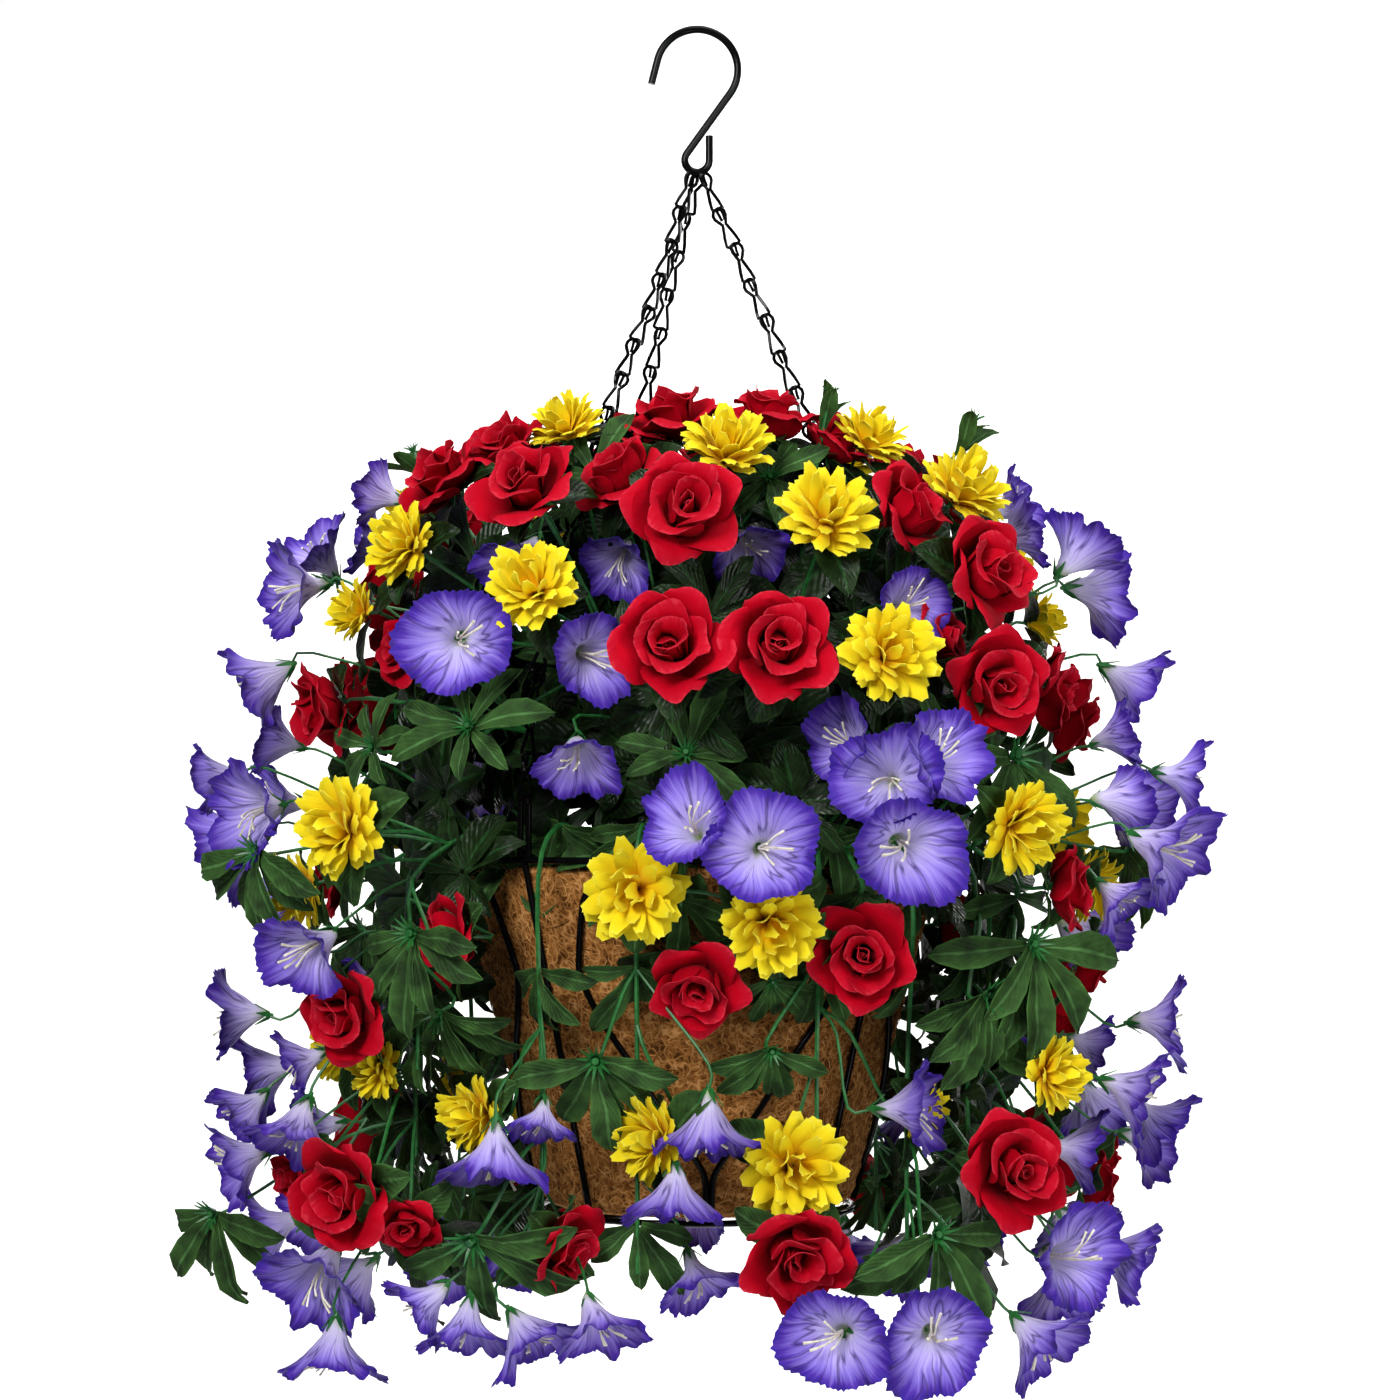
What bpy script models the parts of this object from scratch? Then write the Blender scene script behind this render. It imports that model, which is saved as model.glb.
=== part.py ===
"""Mixed hanging basket: an S-hook, three chains, a wire basket with a coir liner and a foam block,
and sprays of roses, chrysanthemums and morning glories pushed into the foam.

Metres, +Z up. The origin is the point inside the top of the hook where the basket hangs, and the
basket's axis runs straight down from it. Azimuths are in degrees, 0 towards -Y and 90 towards +X.
"""

import math

import bmesh
import bpy
from mathutils import Matrix, Vector

MM = 0.001
GAP = 0.3 * MM  # left between two pieces that touch

# S-hook, bent in the XZ plane
HOOK_WIRE = 2.0 * MM  # radius, as for every wire below
HOOK_TOP_R = 25.0 * MM
HOOK_TOP_Z = -HOOK_TOP_R + HOOK_WIRE  # centre of the upper bend
HOOK_EYE_R = 7.5 * MM
HOOK_EYE_Z = -78.0 * MM
HOOK_TIP = (-28.0 * MM, -31.0 * MM)
HOOK_EYE_END_Z = -63.0 * MM

# Wire basket
RIM_R = 150.5 * MM
RIM_Z = -505.0 * MM
BASE_R = 94.0 * MM
BASE_Z = -715.0 * MM
RING_WIRE = 2.0 * MM
RING_STEPS = 32
RIB_WIRE = 1.5 * MM
RIB_AZIMUTHS = (-41.0, 49.0, 139.0, 229.0)
PANEL_AZIMUTHS = (4.0, 94.0, 184.0, 274.0)  # the middle of each panel between two ribs
# One scroll wire: how far down the basket, and degrees from the middle of its panel
SCROLL = (
    (0.02, 25.0), (0.09, 29.5), (0.15, 31.5), (0.25, 33.5), (0.32, 34.0), (0.43, 30.0), (0.53, 24.0),
    (0.62, 18.5), (0.70, 13.5), (0.78, 7.5), (0.85, 2.4), (0.90, 1.1), (0.98, 1.1),
)

# Hangers and chains: where each is round the rim, and what it is called
HANGERS = {"front_left": -41.0, "right": 79.0, "back_left": 199.0}
HANGER_WIRE = 1.5 * MM
HANGER_HALF_WIDTH = 3.2 * MM
HANGER_TOP_Z = -470.0 * MM
CHAIN_WAIST = 1.3 * MM
CHAIN_BULB = 3.2 * MM
CHAIN_LINKS = 17
CHAIN_SPACING = 3.6 * MM  # between the chains' top links, side by side in the hook's eye
CHAIN_SEAT = 0.8 * MM  # from the eye's underside to the middle of a slanting top link
# How each chain bows out over the flowers: (azimuth, reach, height) in degrees and mm
CHAIN_ROUTES = {
    "front_left": ((-41, 36, -160), (-41, 68, -217), (-41, 108, -300), (-41, 136, -380), (-41, 148, -440)),
    "right": ((79, 31, -150), (79, 61, -223), (79, 95, -310), (79, 126, -390), (79, 146, -440)),
    "back_left": ((219, 25, -147), (220, 49, -217), (217, 82, -290), (210, 115, -360), (202, 143, -440)),
}

# Liner and foam
LINER_THICKNESS = 9.0 * MM
LINER_TOP_Z = -511.0 * MM
LINER_CLEAR = RIB_WIRE + GAP  # from the wires' centre surface to the coir
LINER_CORNER_R = 14.0 * MM
LINER_STEPS = 24
FOAM_TOP_Z = -520.0 * MM

# Stems
STEM_R = 1.8 * MM
TWIG_R = 1.3 * MM
ROOT_SHARES = (0.1, 0.3, 0.5, 0.7, 0.9)  # where twigs may leave each stretch of a stem
ROOT_BELOW = 5 * MM  # how far below its flower a twig may leave a trailing stem
OVER_RIM = ((120, 0.0), (121, 10.0), (128, 25.0), (148, 35.0))  # reach, and height above the foam, in mm

# Every spray: its stem's azimuth, reach and height (degrees, mm), then its flowers and leaf sprays as
# (kind, azimuth, reach, height, facing azimuth, facing elevation, diameter).
# The stem of a crown spray ends at that point. A trailing stem goes over the rim and hangs down to it.
CROWN_SPRAYS = (
    ((-4, 70, -330), (
        ("rose", -2, 175, -307, 0, 15, 67), ("rose", -19, 140, -283, -50, 40, 56),
        ("mum", 8, 130, -267, 5, 50, 58), ("rose", -9, 90, -245, -20, 75, 60),
        ("rose", 27, 90, -244, 30, 75, 58),
    )),
    ((-4, 120, -410), (
        ("rose", -4, 215, -386, -5, 10, 62), ("rose", 12, 215, -386, 8, 10, 62),
        ("glory", 13, 128, -326, 20, -45, 45), ("glory", -20, 128, -332, -30, -45, 45),
        ("glory", -19, 185, -391, 30, -10, 50), ("glory", -21, 185, -447, 0, -50, 48),
        ("leaves", -2, 175, -445, 0, 20, 70),
    )),
    ((34, 120, -360), (
        ("mum", 24, 180, -310, 10, 35, 64), ("rose", 49, 110, -258, 60, 50, 48),
        ("mum", 52, 130, -257, 50, 50, 50), ("mum", 29, 220, -390, 15, 10, 61),
        ("glory", 38, 190, -361, 40, 0, 45), ("leaves", 41, 118, -234, 30, 70, 45),
    )),
    ((62, 120, -360), (
        ("rose", 42, 185, -305, 50, 30, 60), ("mum", 55, 190, -290, 50, 40, 60),
        ("rose", 48, 225, -341, 40, 10, 64), ("glory", 72, 200, -313, 90, 20, 45),
        ("glory", 80, 240, -328, 105, 30, 58), ("leaves", 58, 190, -250, 60, 60, 45),
    )),
    ((55, 130, -425), (
        ("rose", 48, 230, -406, 20, 0, 62), ("rose", 68, 225, -407, 85, 0, 52),
        ("rose", 46, 195, -380, 60, 10, 45), ("leaves", 44, 215, -428, 30, 10, 60),
    )),
    ((-27, 120, -370), (
        ("rose", -31, 190, -293, -30, 35, 62), ("mum", -40, 120, -251, -40, 60, 50),
        ("mum", -25, 215, -352, -15, 25, 57), ("glory", -37, 163, -333, -40, -50, 52),
        ("glory", -36, 225, -382, -5, -5, 60), ("leaves", -36, 215, -430, -30, 15, 70),
    )),
    ((-56, 120, -365), (
        ("rose", -60, 175, -281, -60, 35, 58), ("rose", -55, 140, -262, -40, 55, 52),
        ("mum", -56, 205, -323, -45, 20, 52), ("glory", -73, 195, -289, -100, 20, 42),
    )),
    ((-68, 130, -410), (
        ("glory", -78, 243, -343, -60, -5, 57), ("mum", -70, 215, -359, -70, 10, 42),
        ("rose", -62, 195, -384, -60, 0, 44), ("rose", -70, 235, -418, -75, -15, 57),
        ("glory", -82, 262, -399, -85, -30, 56), ("leaves", -60, 215, -440, -50, 10, 60),
    )),
)
TRAILING_SPRAYS = (
    ((-3, 165, -560), (
        ("glory", -1, 220, -485, -25, 25, 52), ("glory", 9, 225, -497, 0, 5, 60),
        ("mum", 12, 200, -540, 5, -15, 62), ("mum", -10, 195, -522, -8, 0, 66),
        ("rose", 0, 175, -576, 0, -50, 50), ("leaves", 7, 182, -556, 10, -20, 50),
    )),
    ((30, 180, -540), (
        ("glory", 25, 200, -440, -50, 15, 48), ("glory", 28, 225, -459, -15, 5, 58),
        ("glory", 33, 240, -449, 40, 15, 55), ("glory", 29, 235, -497, 15, -15, 62),
        ("rose", 27, 200, -557, 0, 0, 60),
    )),
    ((66, 198, -562), (
        ("mum", 47, 250, -486, 40, -15, 58), ("glory", 72, 258, -471, 110, 0, 46),
        ("glory", 76, 255, -434, 80, 15, 44), ("glory", 79, 292, -456, 85, -10, 48),
        ("glory", 68, 290, -499, 60, -25, 64), ("glory", 66, 265, -527, 60, -40, 46),
        ("rose", 58, 250, -520, 80, 0, 50), ("rose", 70, 245, -566, 90, -10, 36),
        ("leaves", 54, 232, -452, 50, 40, 70),
    )),
    ((61, 180, -680), (
        ("glory", 76, 280, -601, 80, 0, 52), ("glory", 68, 270, -638, 75, -20, 54),
        ("glory", 76, 275, -658, 100, -40, 48), ("mum", 56, 245, -626, 50, 0, 50),
        ("glory", 66, 240, -672, 90, -10, 48), ("rose", 74, 245, -695, 100, 0, 36),
        ("glory", 60, 210, -591, 70, -20, 48), ("leaves", 46, 225, -580, 40, 0, 90),
    )),
    ((44, 172, -750), (
        ("rose", 48, 240, -677, 30, 5, 65), ("glory", 57, 250, -728, 35, 0, 60),
        ("glory", 68, 265, -735, 80, -20, 55), ("glory", 51, 245, -772, 60, -40, 56),
        ("glory", 34, 230, -766, 5, -5, 58), ("glory", 21, 215, -763, -10, -5, 56),
        ("leaves", 38, 215, -712, 30, 10, 90),
    )),
    ((25, 160, -710), (
        ("mum", 17, 190, -673, 10, 0, 65), ("rose", 16, 200, -721, 10, -25, 62),
        ("glory", 36, 200, -643, 75, 0, 56), ("mum", 44, 185, -646, 60, 0, 36),
        ("leaves", 14, 172, -610, 10, -20, 60),
    )),
    ((-12, 160, -735), (
        ("mum", -9, 175, -659, -60, 0, 54), ("glory", 2, 185, -651, 0, -80, 58),
        ("glory", -4, 185, -689, -10, -80, 54), ("glory", 0, 150, -738, 40, -60, 48),
        ("leaves", -18, 180, -615, -10, -10, 90),
    )),
    ((-32, 165, -745), (
        ("mum", -42, 190, -648, -60, 0, 48), ("glory", -34, 202, -669, -20, -80, 60),
        ("glory", -28, 185, -649, -20, -75, 40), ("rose", -22, 190, -718, 60, -20, 50),
        ("glory", -16, 200, -758, 30, -60, 50), ("glory", -27, 205, -766, 60, -50, 52),
        ("glory", -36, 215, -762, -10, -70, 48), ("glory", -42, 225, -749, -80, -40, 46),
        ("leaves", -34, 220, -712, -30, -30, 110),
    )),
    ((-66, 180, -740), (
        ("rose", -51, 255, -692, -30, -10, 62), ("rose", -46, 225, -710, 0, -20, 36),
        ("glory", -58, 252, -739, -30, -40, 62), ("glory", -56, 247, -781, -20, -80, 54),
        ("glory", -64, 255, -659, -40, -60, 58), ("glory", -72, 278, -680, -70, -20, 52),
        ("rose", -72, 250, -690, -60, -20, 32), ("leaves", -77, 290, -712, -80, 20, 80),
    )),
    ((-55, 195, -625), (
        ("mum", -52, 255, -486, -35, 5, 62), ("mum", -66, 252, -523, -70, -20, 52),
        ("glory", -68, 275, -477, -45, -10, 58), ("glory", -58, 258, -555, -40, -30, 57),
        ("rose", -58, 238, -593, -40, -15, 58), ("mum", -62, 210, -624, -50, 0, 42),
        ("glory", -69, 245, -621, -80, -20, 42), ("rose", -49, 190, -548, -70, 0, 56),
        ("leaves", -45, 205, -590, -40, -30, 80),
    )),
)
MIDDLE_SPRAYS = 15  # degrees either side of the front
BACK_SPREAD = 12  # degrees
SMALLEST_SOLID = 50  # mm: smaller flowers are left to the finished model

# Each flower's solid, as shares of its diameter: radius at the back, radius at the mouth, depth
SOLIDS = {
    "rose": (0.20, 0.40, 0.50),
    "mum": (0.16, 0.40, 0.50),
    "glory": (0.05, 0.40, 0.75),
    "leaves": (0.30, 0.12, 0.08),
}
SEAT_SHARE = 0.3  # how far behind the middle its stem ends, as a share of its depth
SOLID_SIDES = 5
TWIG_SIDES = 3

COLOURS = {  # red, green, blue, roughness, metallic
    "wire_black": (0.012, 0.012, 0.013, 0.35, 0.0),
    "coir": (0.30, 0.16, 0.06, 0.95, 0.0),
    "floral_foam": (0.05, 0.12, 0.05, 0.95, 0.0),
    "spray_green": (0.04, 0.12, 0.04, 0.6, 0.0),
}


def material(name):
    found = bpy.data.materials.get(name)
    if found:
        return found
    red, green, blue, roughness, metallic = COLOURS[name]
    made = bpy.data.materials.new(name)
    made.use_nodes = True
    shader = made.node_tree.nodes["Principled BSDF"]
    shader.inputs["Base Color"].default_value = (red, green, blue, 1)
    shader.inputs["Roughness"].default_value = roughness
    shader.inputs["Metallic"].default_value = metallic
    return made


def around(azimuth, reach, height):
    """The point at this azimuth in degrees, and at this reach and height in metres."""
    turn = math.radians(azimuth)
    return Vector((reach * math.sin(turn), -reach * math.cos(turn), height))


def facing(azimuth, elevation):
    """The direction with this azimuth and elevation, in degrees."""
    rise = math.radians(elevation)
    return around(azimuth, math.cos(rise), math.sin(rise))


def new_object(name, data, finish):
    made = bpy.data.objects.new(name, data)
    basket.objects.link(made)
    data.materials.append(material(finish))
    return made


def smooth_route(points, steps):
    """A smooth line through the points, with this many steps between each two of them."""
    ends = [2 * points[0] - points[1], *points, 2 * points[-1] - points[-2]]
    route = []
    for before, start, end, after in zip(ends, ends[1:], ends[2:], ends[3:]):
        for step in range(steps):
            t = step / steps
            route.append(0.5 * (
                2 * start + (end - before) * t
                + (2 * before - 5 * start + 4 * end - after) * t ** 2
                + (3 * start - before - 3 * end + after) * t ** 3
            ))
    return route + [points[-1]]


def wire(name, points, radius, finish="wire_black", closed=False, sides=2, widths=None):
    """A round wire through the points. sides is the curve's bevel resolution."""
    curve = bpy.data.curves.new(name, "CURVE")
    curve.dimensions = "3D"
    curve.bevel_depth = radius
    curve.bevel_resolution = sides
    curve.use_fill_caps = not closed
    spline = curve.splines.new("POLY")
    spline.points.add(len(points) - 1)
    for i, place in enumerate(points):
        spline.points[i].co = (*place, 1)
        spline.points[i].radius = widths[i] if widths else 1
    spline.use_cyclic_u = closed
    made = new_object(name, curve, finish)
    return made


def as_mesh(made):
    """Turns a curve object into a closed mesh of the same name."""
    evaluated = made.evaluated_get(bpy.context.evaluated_depsgraph_get())
    mesh = bpy.data.meshes.new_from_object(evaluated)
    shape = bmesh.new()
    shape.from_mesh(mesh)
    bmesh.ops.remove_doubles(shape, verts=shape.verts, dist=1e-6)
    shape.to_mesh(mesh)
    shape.free()
    name = made.name
    place = made.matrix_world.copy()
    bpy.data.objects.remove(made)
    solid = bpy.data.objects.new(name, mesh)
    basket.objects.link(solid)
    solid.matrix_world = place
    return solid


def join(solid, others, name):
    """Unites a solid with a cutter mesh whose pieces overlap each other, and keeps one closed body."""
    guide = bpy.data.objects.new(name + "_pieces", others)
    cutters.objects.link(guide)
    guide.hide_render = True
    guide.display_type = "WIRE"
    union = solid.modifiers.new("join", "BOOLEAN")
    union.operation = "UNION"
    union.solver = "EXACT"
    union.use_self = True
    union.object = guide


def make_hook():
    points = []
    top = Vector((0, 0, HOOK_TOP_Z))
    eye = Vector((0, 0, HOOK_EYE_Z))
    lean = math.acos((HOOK_TOP_R + HOOK_EYE_R) / (top - eye).length)  # of the straight between the bends
    crossing = math.degrees(lean) - 90
    points.append(Vector((HOOK_TIP[0], 0, HOOK_TIP[1])))
    for step in range(13):
        angle = math.radians(163 + (crossing - 163) * step / 12)
        points.append(top + HOOK_TOP_R * Vector((math.cos(angle), 0, math.sin(angle))))
    for step in range(11):
        angle = math.radians(180 + crossing + (180 - crossing) * step / 10)
        points.append(eye + HOOK_EYE_R * Vector((math.cos(angle), 0, math.sin(angle))))
    points.append(Vector((HOOK_EYE_R, 0, HOOK_EYE_END_Z)))
    wire("s_hook", points, HOOK_WIRE, sides=1)


def make_hangers_and_chains():
    for number, (name, azimuth) in enumerate(HANGERS.items()):
        side = around(azimuth + 90, HANGER_HALF_WIDTH, 0)
        foot = around(azimuth, RIM_R, RIM_Z + RING_WIRE + GAP)
        top = around(azimuth, RIM_R, HANGER_TOP_Z - HANGER_HALF_WIDTH)
        bend = [
            top + side * math.cos(a) + Vector((0, 0, HANGER_HALF_WIDTH * math.sin(a)))
            for a in (math.pi * step / 5 for step in range(6))
        ]
        wire("hanger_loop_" + name, [foot + side, *bend, foot - side], HANGER_WIRE, sides=1)

        across = (-CHAIN_SPACING, CHAIN_SPACING, 0)[number]
        drop = math.sqrt((HOOK_EYE_R + HOOK_WIRE) ** 2 - across ** 2)
        start = Vector((across, 0, HOOK_EYE_Z - drop - CHAIN_SEAT))
        end = around(azimuth, RIM_R, HANGER_TOP_Z + HANGER_WIRE + GAP + 0.1 * MM)
        way = [around(a, r * MM, z * MM) for a, r, z in CHAIN_ROUTES[name]]
        route = smooth_route([start, *way, end], 20)
        lengths = [0.0]
        for one, other in zip(route, route[1:]):
            lengths.append(lengths[-1] + (other - one).length)
        points = []
        for half in range(2 * CHAIN_LINKS + 1):
            goal = lengths[-1] * half / (2 * CHAIN_LINKS)
            i = next(k for k in range(1, len(route)) if lengths[k] >= goal - 1e-9)
            share = (goal - lengths[i - 1]) / (lengths[i] - lengths[i - 1])
            points.append(route[i - 1].lerp(route[i], share))
        bulb = CHAIN_BULB / CHAIN_WAIST
        widths = [1.0 if half % 2 == 0 or half < 3 else bulb for half in range(len(points))]
        wire("chain_" + name, points, CHAIN_WAIST, sides=0, widths=widths)


def ring(name, reach, height):
    bpy.ops.mesh.primitive_torus_add(
        location=(0, 0, height), major_radius=reach, minor_radius=RING_WIRE,
        major_segments=RING_STEPS, minor_segments=6,
    )
    made = bpy.context.object
    made.name = name
    made.data.name = name
    made.data.materials.append(material("wire_black"))
    for home in made.users_collection:
        home.objects.unlink(made)
    basket.objects.link(made)


def wall_reach(share):
    """How far the basket's wires stand from its axis, this share of the way down."""
    return RIM_R + (BASE_R - RIM_R) * share


def make_frame():
    ring("rim_ring", RIM_R, RIM_Z)
    ring("base_ring", BASE_R, BASE_Z)
    slant = Vector((BASE_R - RIM_R, 0, BASE_Z - RIM_Z))
    stop = (RING_WIRE + GAP + 0.4 * MM) / slant.length  # clear of the ring that the wire is welded to
    for number, azimuth in enumerate(RIB_AZIMUTHS, 1):
        ends = [
            around(azimuth, wall_reach(share), RIM_Z + (BASE_Z - RIM_Z) * share) for share in (stop, 1 - stop)
        ]
        wire(f"frame_rib_{number}", ends, RIB_WIRE, sides=1)
    number = 0
    for middle in PANEL_AZIMUTHS:
        for hand in (-1, 1):
            number += 1
            places = [
                around(middle + hand * turn, wall_reach(share), RIM_Z + (BASE_Z - RIM_Z) * share)
                for share, turn in ((stop, 23.5), *SCROLL[1:-1], (1 - stop, 1.1))
            ]
            wire(f"scroll_wire_{number}", places, RIB_WIRE, sides=1)
    arm = BASE_R * math.cos(math.pi / RING_STEPS) - RING_WIRE - GAP  # to the middle of the ring's flats
    bars = [
        as_mesh(wire(name, [around(a, arm, BASE_Z), around(a + 180, arm, BASE_Z)], RIB_WIRE, sides=1))
        for name, a in (("base_cross", RIB_AZIMUTHS[0]), ("base_bar", RIB_AZIMUTHS[1]))
    ]
    join(bars[0], bars[1].data, "base_cross")
    bpy.data.objects.remove(bars[1])


def liner_profile(inset):
    """The liner's outer outline from its lip to the axis, moved inwards by inset."""
    top_share = (LINER_TOP_Z - RIM_Z) / (BASE_Z - RIM_Z)
    floor = BASE_Z + RIB_WIRE + GAP
    low_share = (floor - RIM_Z) / (BASE_Z - RIM_Z)
    corner_reach = wall_reach(low_share) - LINER_CLEAR - LINER_CORNER_R
    corner_height = floor + LINER_CORNER_R
    radius = LINER_CORNER_R - inset
    corner = [
        (corner_reach + radius * math.cos(a), corner_height - radius * math.sin(a))
        for a in (math.radians(v) for v in (0, 30, 60, 90))
    ]
    return [(wall_reach(top_share) - LINER_CLEAR - inset, LINER_TOP_Z), *corner, (0, corner[-1][1])]


def turned(name, outline, finish):
    """A solid turned from an outline that runs from the top down to the axis."""
    mesh = bpy.data.meshes.new(name)
    mesh.from_pydata([(x, 0, z) for x, z in outline], [(i, i + 1) for i in range(len(outline) - 1)], [])
    made = new_object(name, mesh, finish)
    screw = made.modifiers.new("turn", "SCREW")
    screw.steps = LINER_STEPS
    screw.render_steps = LINER_STEPS
    screw.use_merge_vertices = True
    screw.merge_threshold = 1e-5
    screw.use_smooth_shade = False
    return made


def make_liner_and_foam():
    outer = liner_profile(0)
    inner = liner_profile(LINER_THICKNESS)
    turned("coir_liner", [(0, inner[-1][1]), *reversed(inner[:-1]), *outer], "coir")
    core = liner_profile(LINER_THICKNESS + GAP)
    slope = (core[1][0] - core[0][0]) / (core[1][1] - core[0][1])
    shoulder = core[0][0] + slope * (FOAM_TOP_Z - core[0][1])
    turned("floral_foam", [(0, FOAM_TOP_Z), (shoulder, FOAM_TOP_Z), *core[1:]], "floral_foam")


def add_solid(shape, kind, place, direction, size):
    """Adds one flower or leaf spray, centred on place and looking along direction. Returns its stem's end."""
    back, mouth, depth = (share * size for share in SOLIDS[kind])
    turn = direction.to_track_quat("Z", "Y").to_matrix().to_4x4()
    bmesh.ops.create_cone(
        shape, cap_ends=True, segments=SOLID_SIDES, radius1=back, radius2=mouth, depth=depth,
        matrix=Matrix.Translation(place) @ turn,
    )
    return place - direction * depth * SEAT_SHARE


def add_twig(shape, start, end):
    """Adds a thin straight stem that starts a little way inside the thicker one."""
    along = (end - start).normalized()
    start = start - along * TWIG_R
    turn = along.to_track_quat("Z", "Y").to_matrix().to_4x4()
    bmesh.ops.create_cone(
        shape, cap_ends=True, segments=TWIG_SIDES, radius1=TWIG_R, radius2=TWIG_R, depth=(end - start).length,
        matrix=Matrix.Translation((start + end) / 2) @ turn,
    )


def stem_route(trailing, azimuth, reach, height):
    if trailing:
        foot, *over = [around(azimuth, r * MM, FOAM_TOP_Z + GAP + rise * MM) for r, rise in OVER_RIM]
        shoulder = around(azimuth, (reach + 4) * MM, -515 * MM)
        side = around(azimuth, reach * MM, (height - 515) / 2 * MM)
        return [foot, *smooth_route([*over, shoulder, side, around(azimuth, reach * MM, height * MM)], 2)]
    foot = around(azimuth, 0.45 * reach * MM, FOAM_TOP_Z + GAP)
    neck = foot + Vector((0, 0, 10 * MM))
    knee = around(azimuth, 0.60 * reach * MM, (0.4 * FOAM_TOP_Z / MM + 0.6 * height) * MM)
    return [foot, *smooth_route([neck, knee, around(azimuth, reach * MM, height * MM)], 2)]


def back_turn(azimuth):
    """Half a turn, and a little more or less for the sprays at the sides, which fills the basket's sides."""
    if abs(azimuth) < MIDDLE_SPRAYS:
        return 180
    return 180 + math.copysign(BACK_SPREAD, azimuth)


def make_spray(name, trailing, stem, flowers, turn):
    route = stem_route(trailing, stem[0] + turn, stem[1], stem[2])
    solid = as_mesh(wire(name, route, STEM_R, "spray_green", sides=0))
    outside = route[6:] if trailing else route[3:]
    roots = [one.lerp(other, share) for one, other in zip(outside, outside[1:]) for share in ROOT_SHARES]
    shape = bmesh.new()
    for kind, azimuth, reach, height, face_azimuth, face_elevation, size in flowers:
        if size < SMALLEST_SOLID:
            continue
        place = around(azimuth + turn, reach * MM, height * MM)
        base = add_solid(shape, kind, place, facing(face_azimuth + turn, face_elevation), size * MM)
        above = [root for root in roots if root.z > base.z - ROOT_BELOW] if trailing else roots
        root = min(above or roots[:1], key=lambda place: (place - base).length)
        roots.remove(root)
        add_twig(shape, root, base)
    pieces = bpy.data.meshes.new(name + "_pieces")
    shape.to_mesh(pieces)
    shape.free()
    join(solid, pieces, name)


def make_sprays():
    """Every spray stands twice, about half a turn apart, so that the basket is as full behind as in front."""
    for kind, sprays in (("crown", CROWN_SPRAYS), ("trailing", TRAILING_SPRAYS)):
        for number, (stem, flowers) in enumerate(sprays, 1):
            for side, turn in (("front", 0), ("back", back_turn(stem[0]))):
                make_spray(f"{kind}_spray_{side}_{number}", kind == "trailing", stem, flowers, turn)


for thing in list(bpy.data.objects):
    bpy.data.objects.remove(thing)
basket = bpy.data.collections.new("mixed_hanging_basket")
cutters = bpy.data.collections.new("cutters")
for collection in (basket, cutters):
    bpy.context.scene.collection.children.link(collection)

make_hook()
make_hangers_and_chains()
make_frame()
make_liner_and_foam()
make_sprays()
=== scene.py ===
"""The looks of a mixed hanging basket: glossy wires and chain links, a coir lining with loose fibres,
and sprays of cloth roses, chrysanthemums, morning glories and leaves on green plastic stems.

Metres, +Z up, in the frame of the loaded model. Azimuths are in degrees, 0 towards -Y and 90 towards +X.
"""

import itertools
import math
import random
from collections import namedtuple

import bmesh
import bpy
from bpy.props import FloatProperty, FloatVectorProperty, IntProperty, PointerProperty
from bpy.types import Operator, Panel, PropertyGroup
from mathutils import Matrix, Vector, noise


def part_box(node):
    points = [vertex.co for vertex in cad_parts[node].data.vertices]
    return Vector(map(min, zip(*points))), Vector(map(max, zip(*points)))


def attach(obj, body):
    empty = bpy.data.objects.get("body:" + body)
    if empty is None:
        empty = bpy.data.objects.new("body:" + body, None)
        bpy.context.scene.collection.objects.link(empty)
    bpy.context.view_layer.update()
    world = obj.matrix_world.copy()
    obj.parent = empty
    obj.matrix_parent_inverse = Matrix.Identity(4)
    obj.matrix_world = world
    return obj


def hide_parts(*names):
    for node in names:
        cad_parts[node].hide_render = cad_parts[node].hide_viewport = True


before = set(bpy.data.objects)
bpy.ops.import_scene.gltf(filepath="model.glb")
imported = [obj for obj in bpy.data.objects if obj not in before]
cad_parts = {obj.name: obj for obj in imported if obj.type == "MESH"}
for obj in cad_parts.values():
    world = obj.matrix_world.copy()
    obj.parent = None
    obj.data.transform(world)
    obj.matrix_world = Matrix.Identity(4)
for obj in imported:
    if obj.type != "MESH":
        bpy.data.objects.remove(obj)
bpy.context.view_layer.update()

bl_info = {
    "name": "Mixed hanging basket",
    "version": (1, 0, 0),
    "blender": (4, 5, 0),
    "location": "3D View > Sidebar > Basket",
    "description": "Dresses the packed hanging basket with its wires, coir, flowers and leaves",
    "category": "Add Mesh",
}

MM = 0.001
BLADE_MAP = "blade"  # the UV map of petals and leaves: U across, V from the base to the tip
NOISE_SEED = 3  # for the crumple of the cloth, whose noise would otherwise differ from run to run
SMOOTH_ANGLE = math.radians(55)  # edges sharper than this stay sharp

# The rings and the filling, read from the frame
RIM_LOW, RIM_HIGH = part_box("rim_ring")
BASE_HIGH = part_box("base_ring")[1]
LINER_LOW, LINER_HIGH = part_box("coir_liner")
FOAM_LOW, FOAM_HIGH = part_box("floral_foam")
RING_WIRE = (RIM_HIGH.z - RIM_LOW.z) / 2
RIM_R = RIM_HIGH.x - RING_WIRE
RIM_Z = RIM_HIGH.z - RING_WIRE
BASE_R = BASE_HIGH.x - RING_WIRE
BASE_Z = BASE_HIGH.z - RING_WIRE
FOAM_TOP = FOAM_HIGH.z

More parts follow.
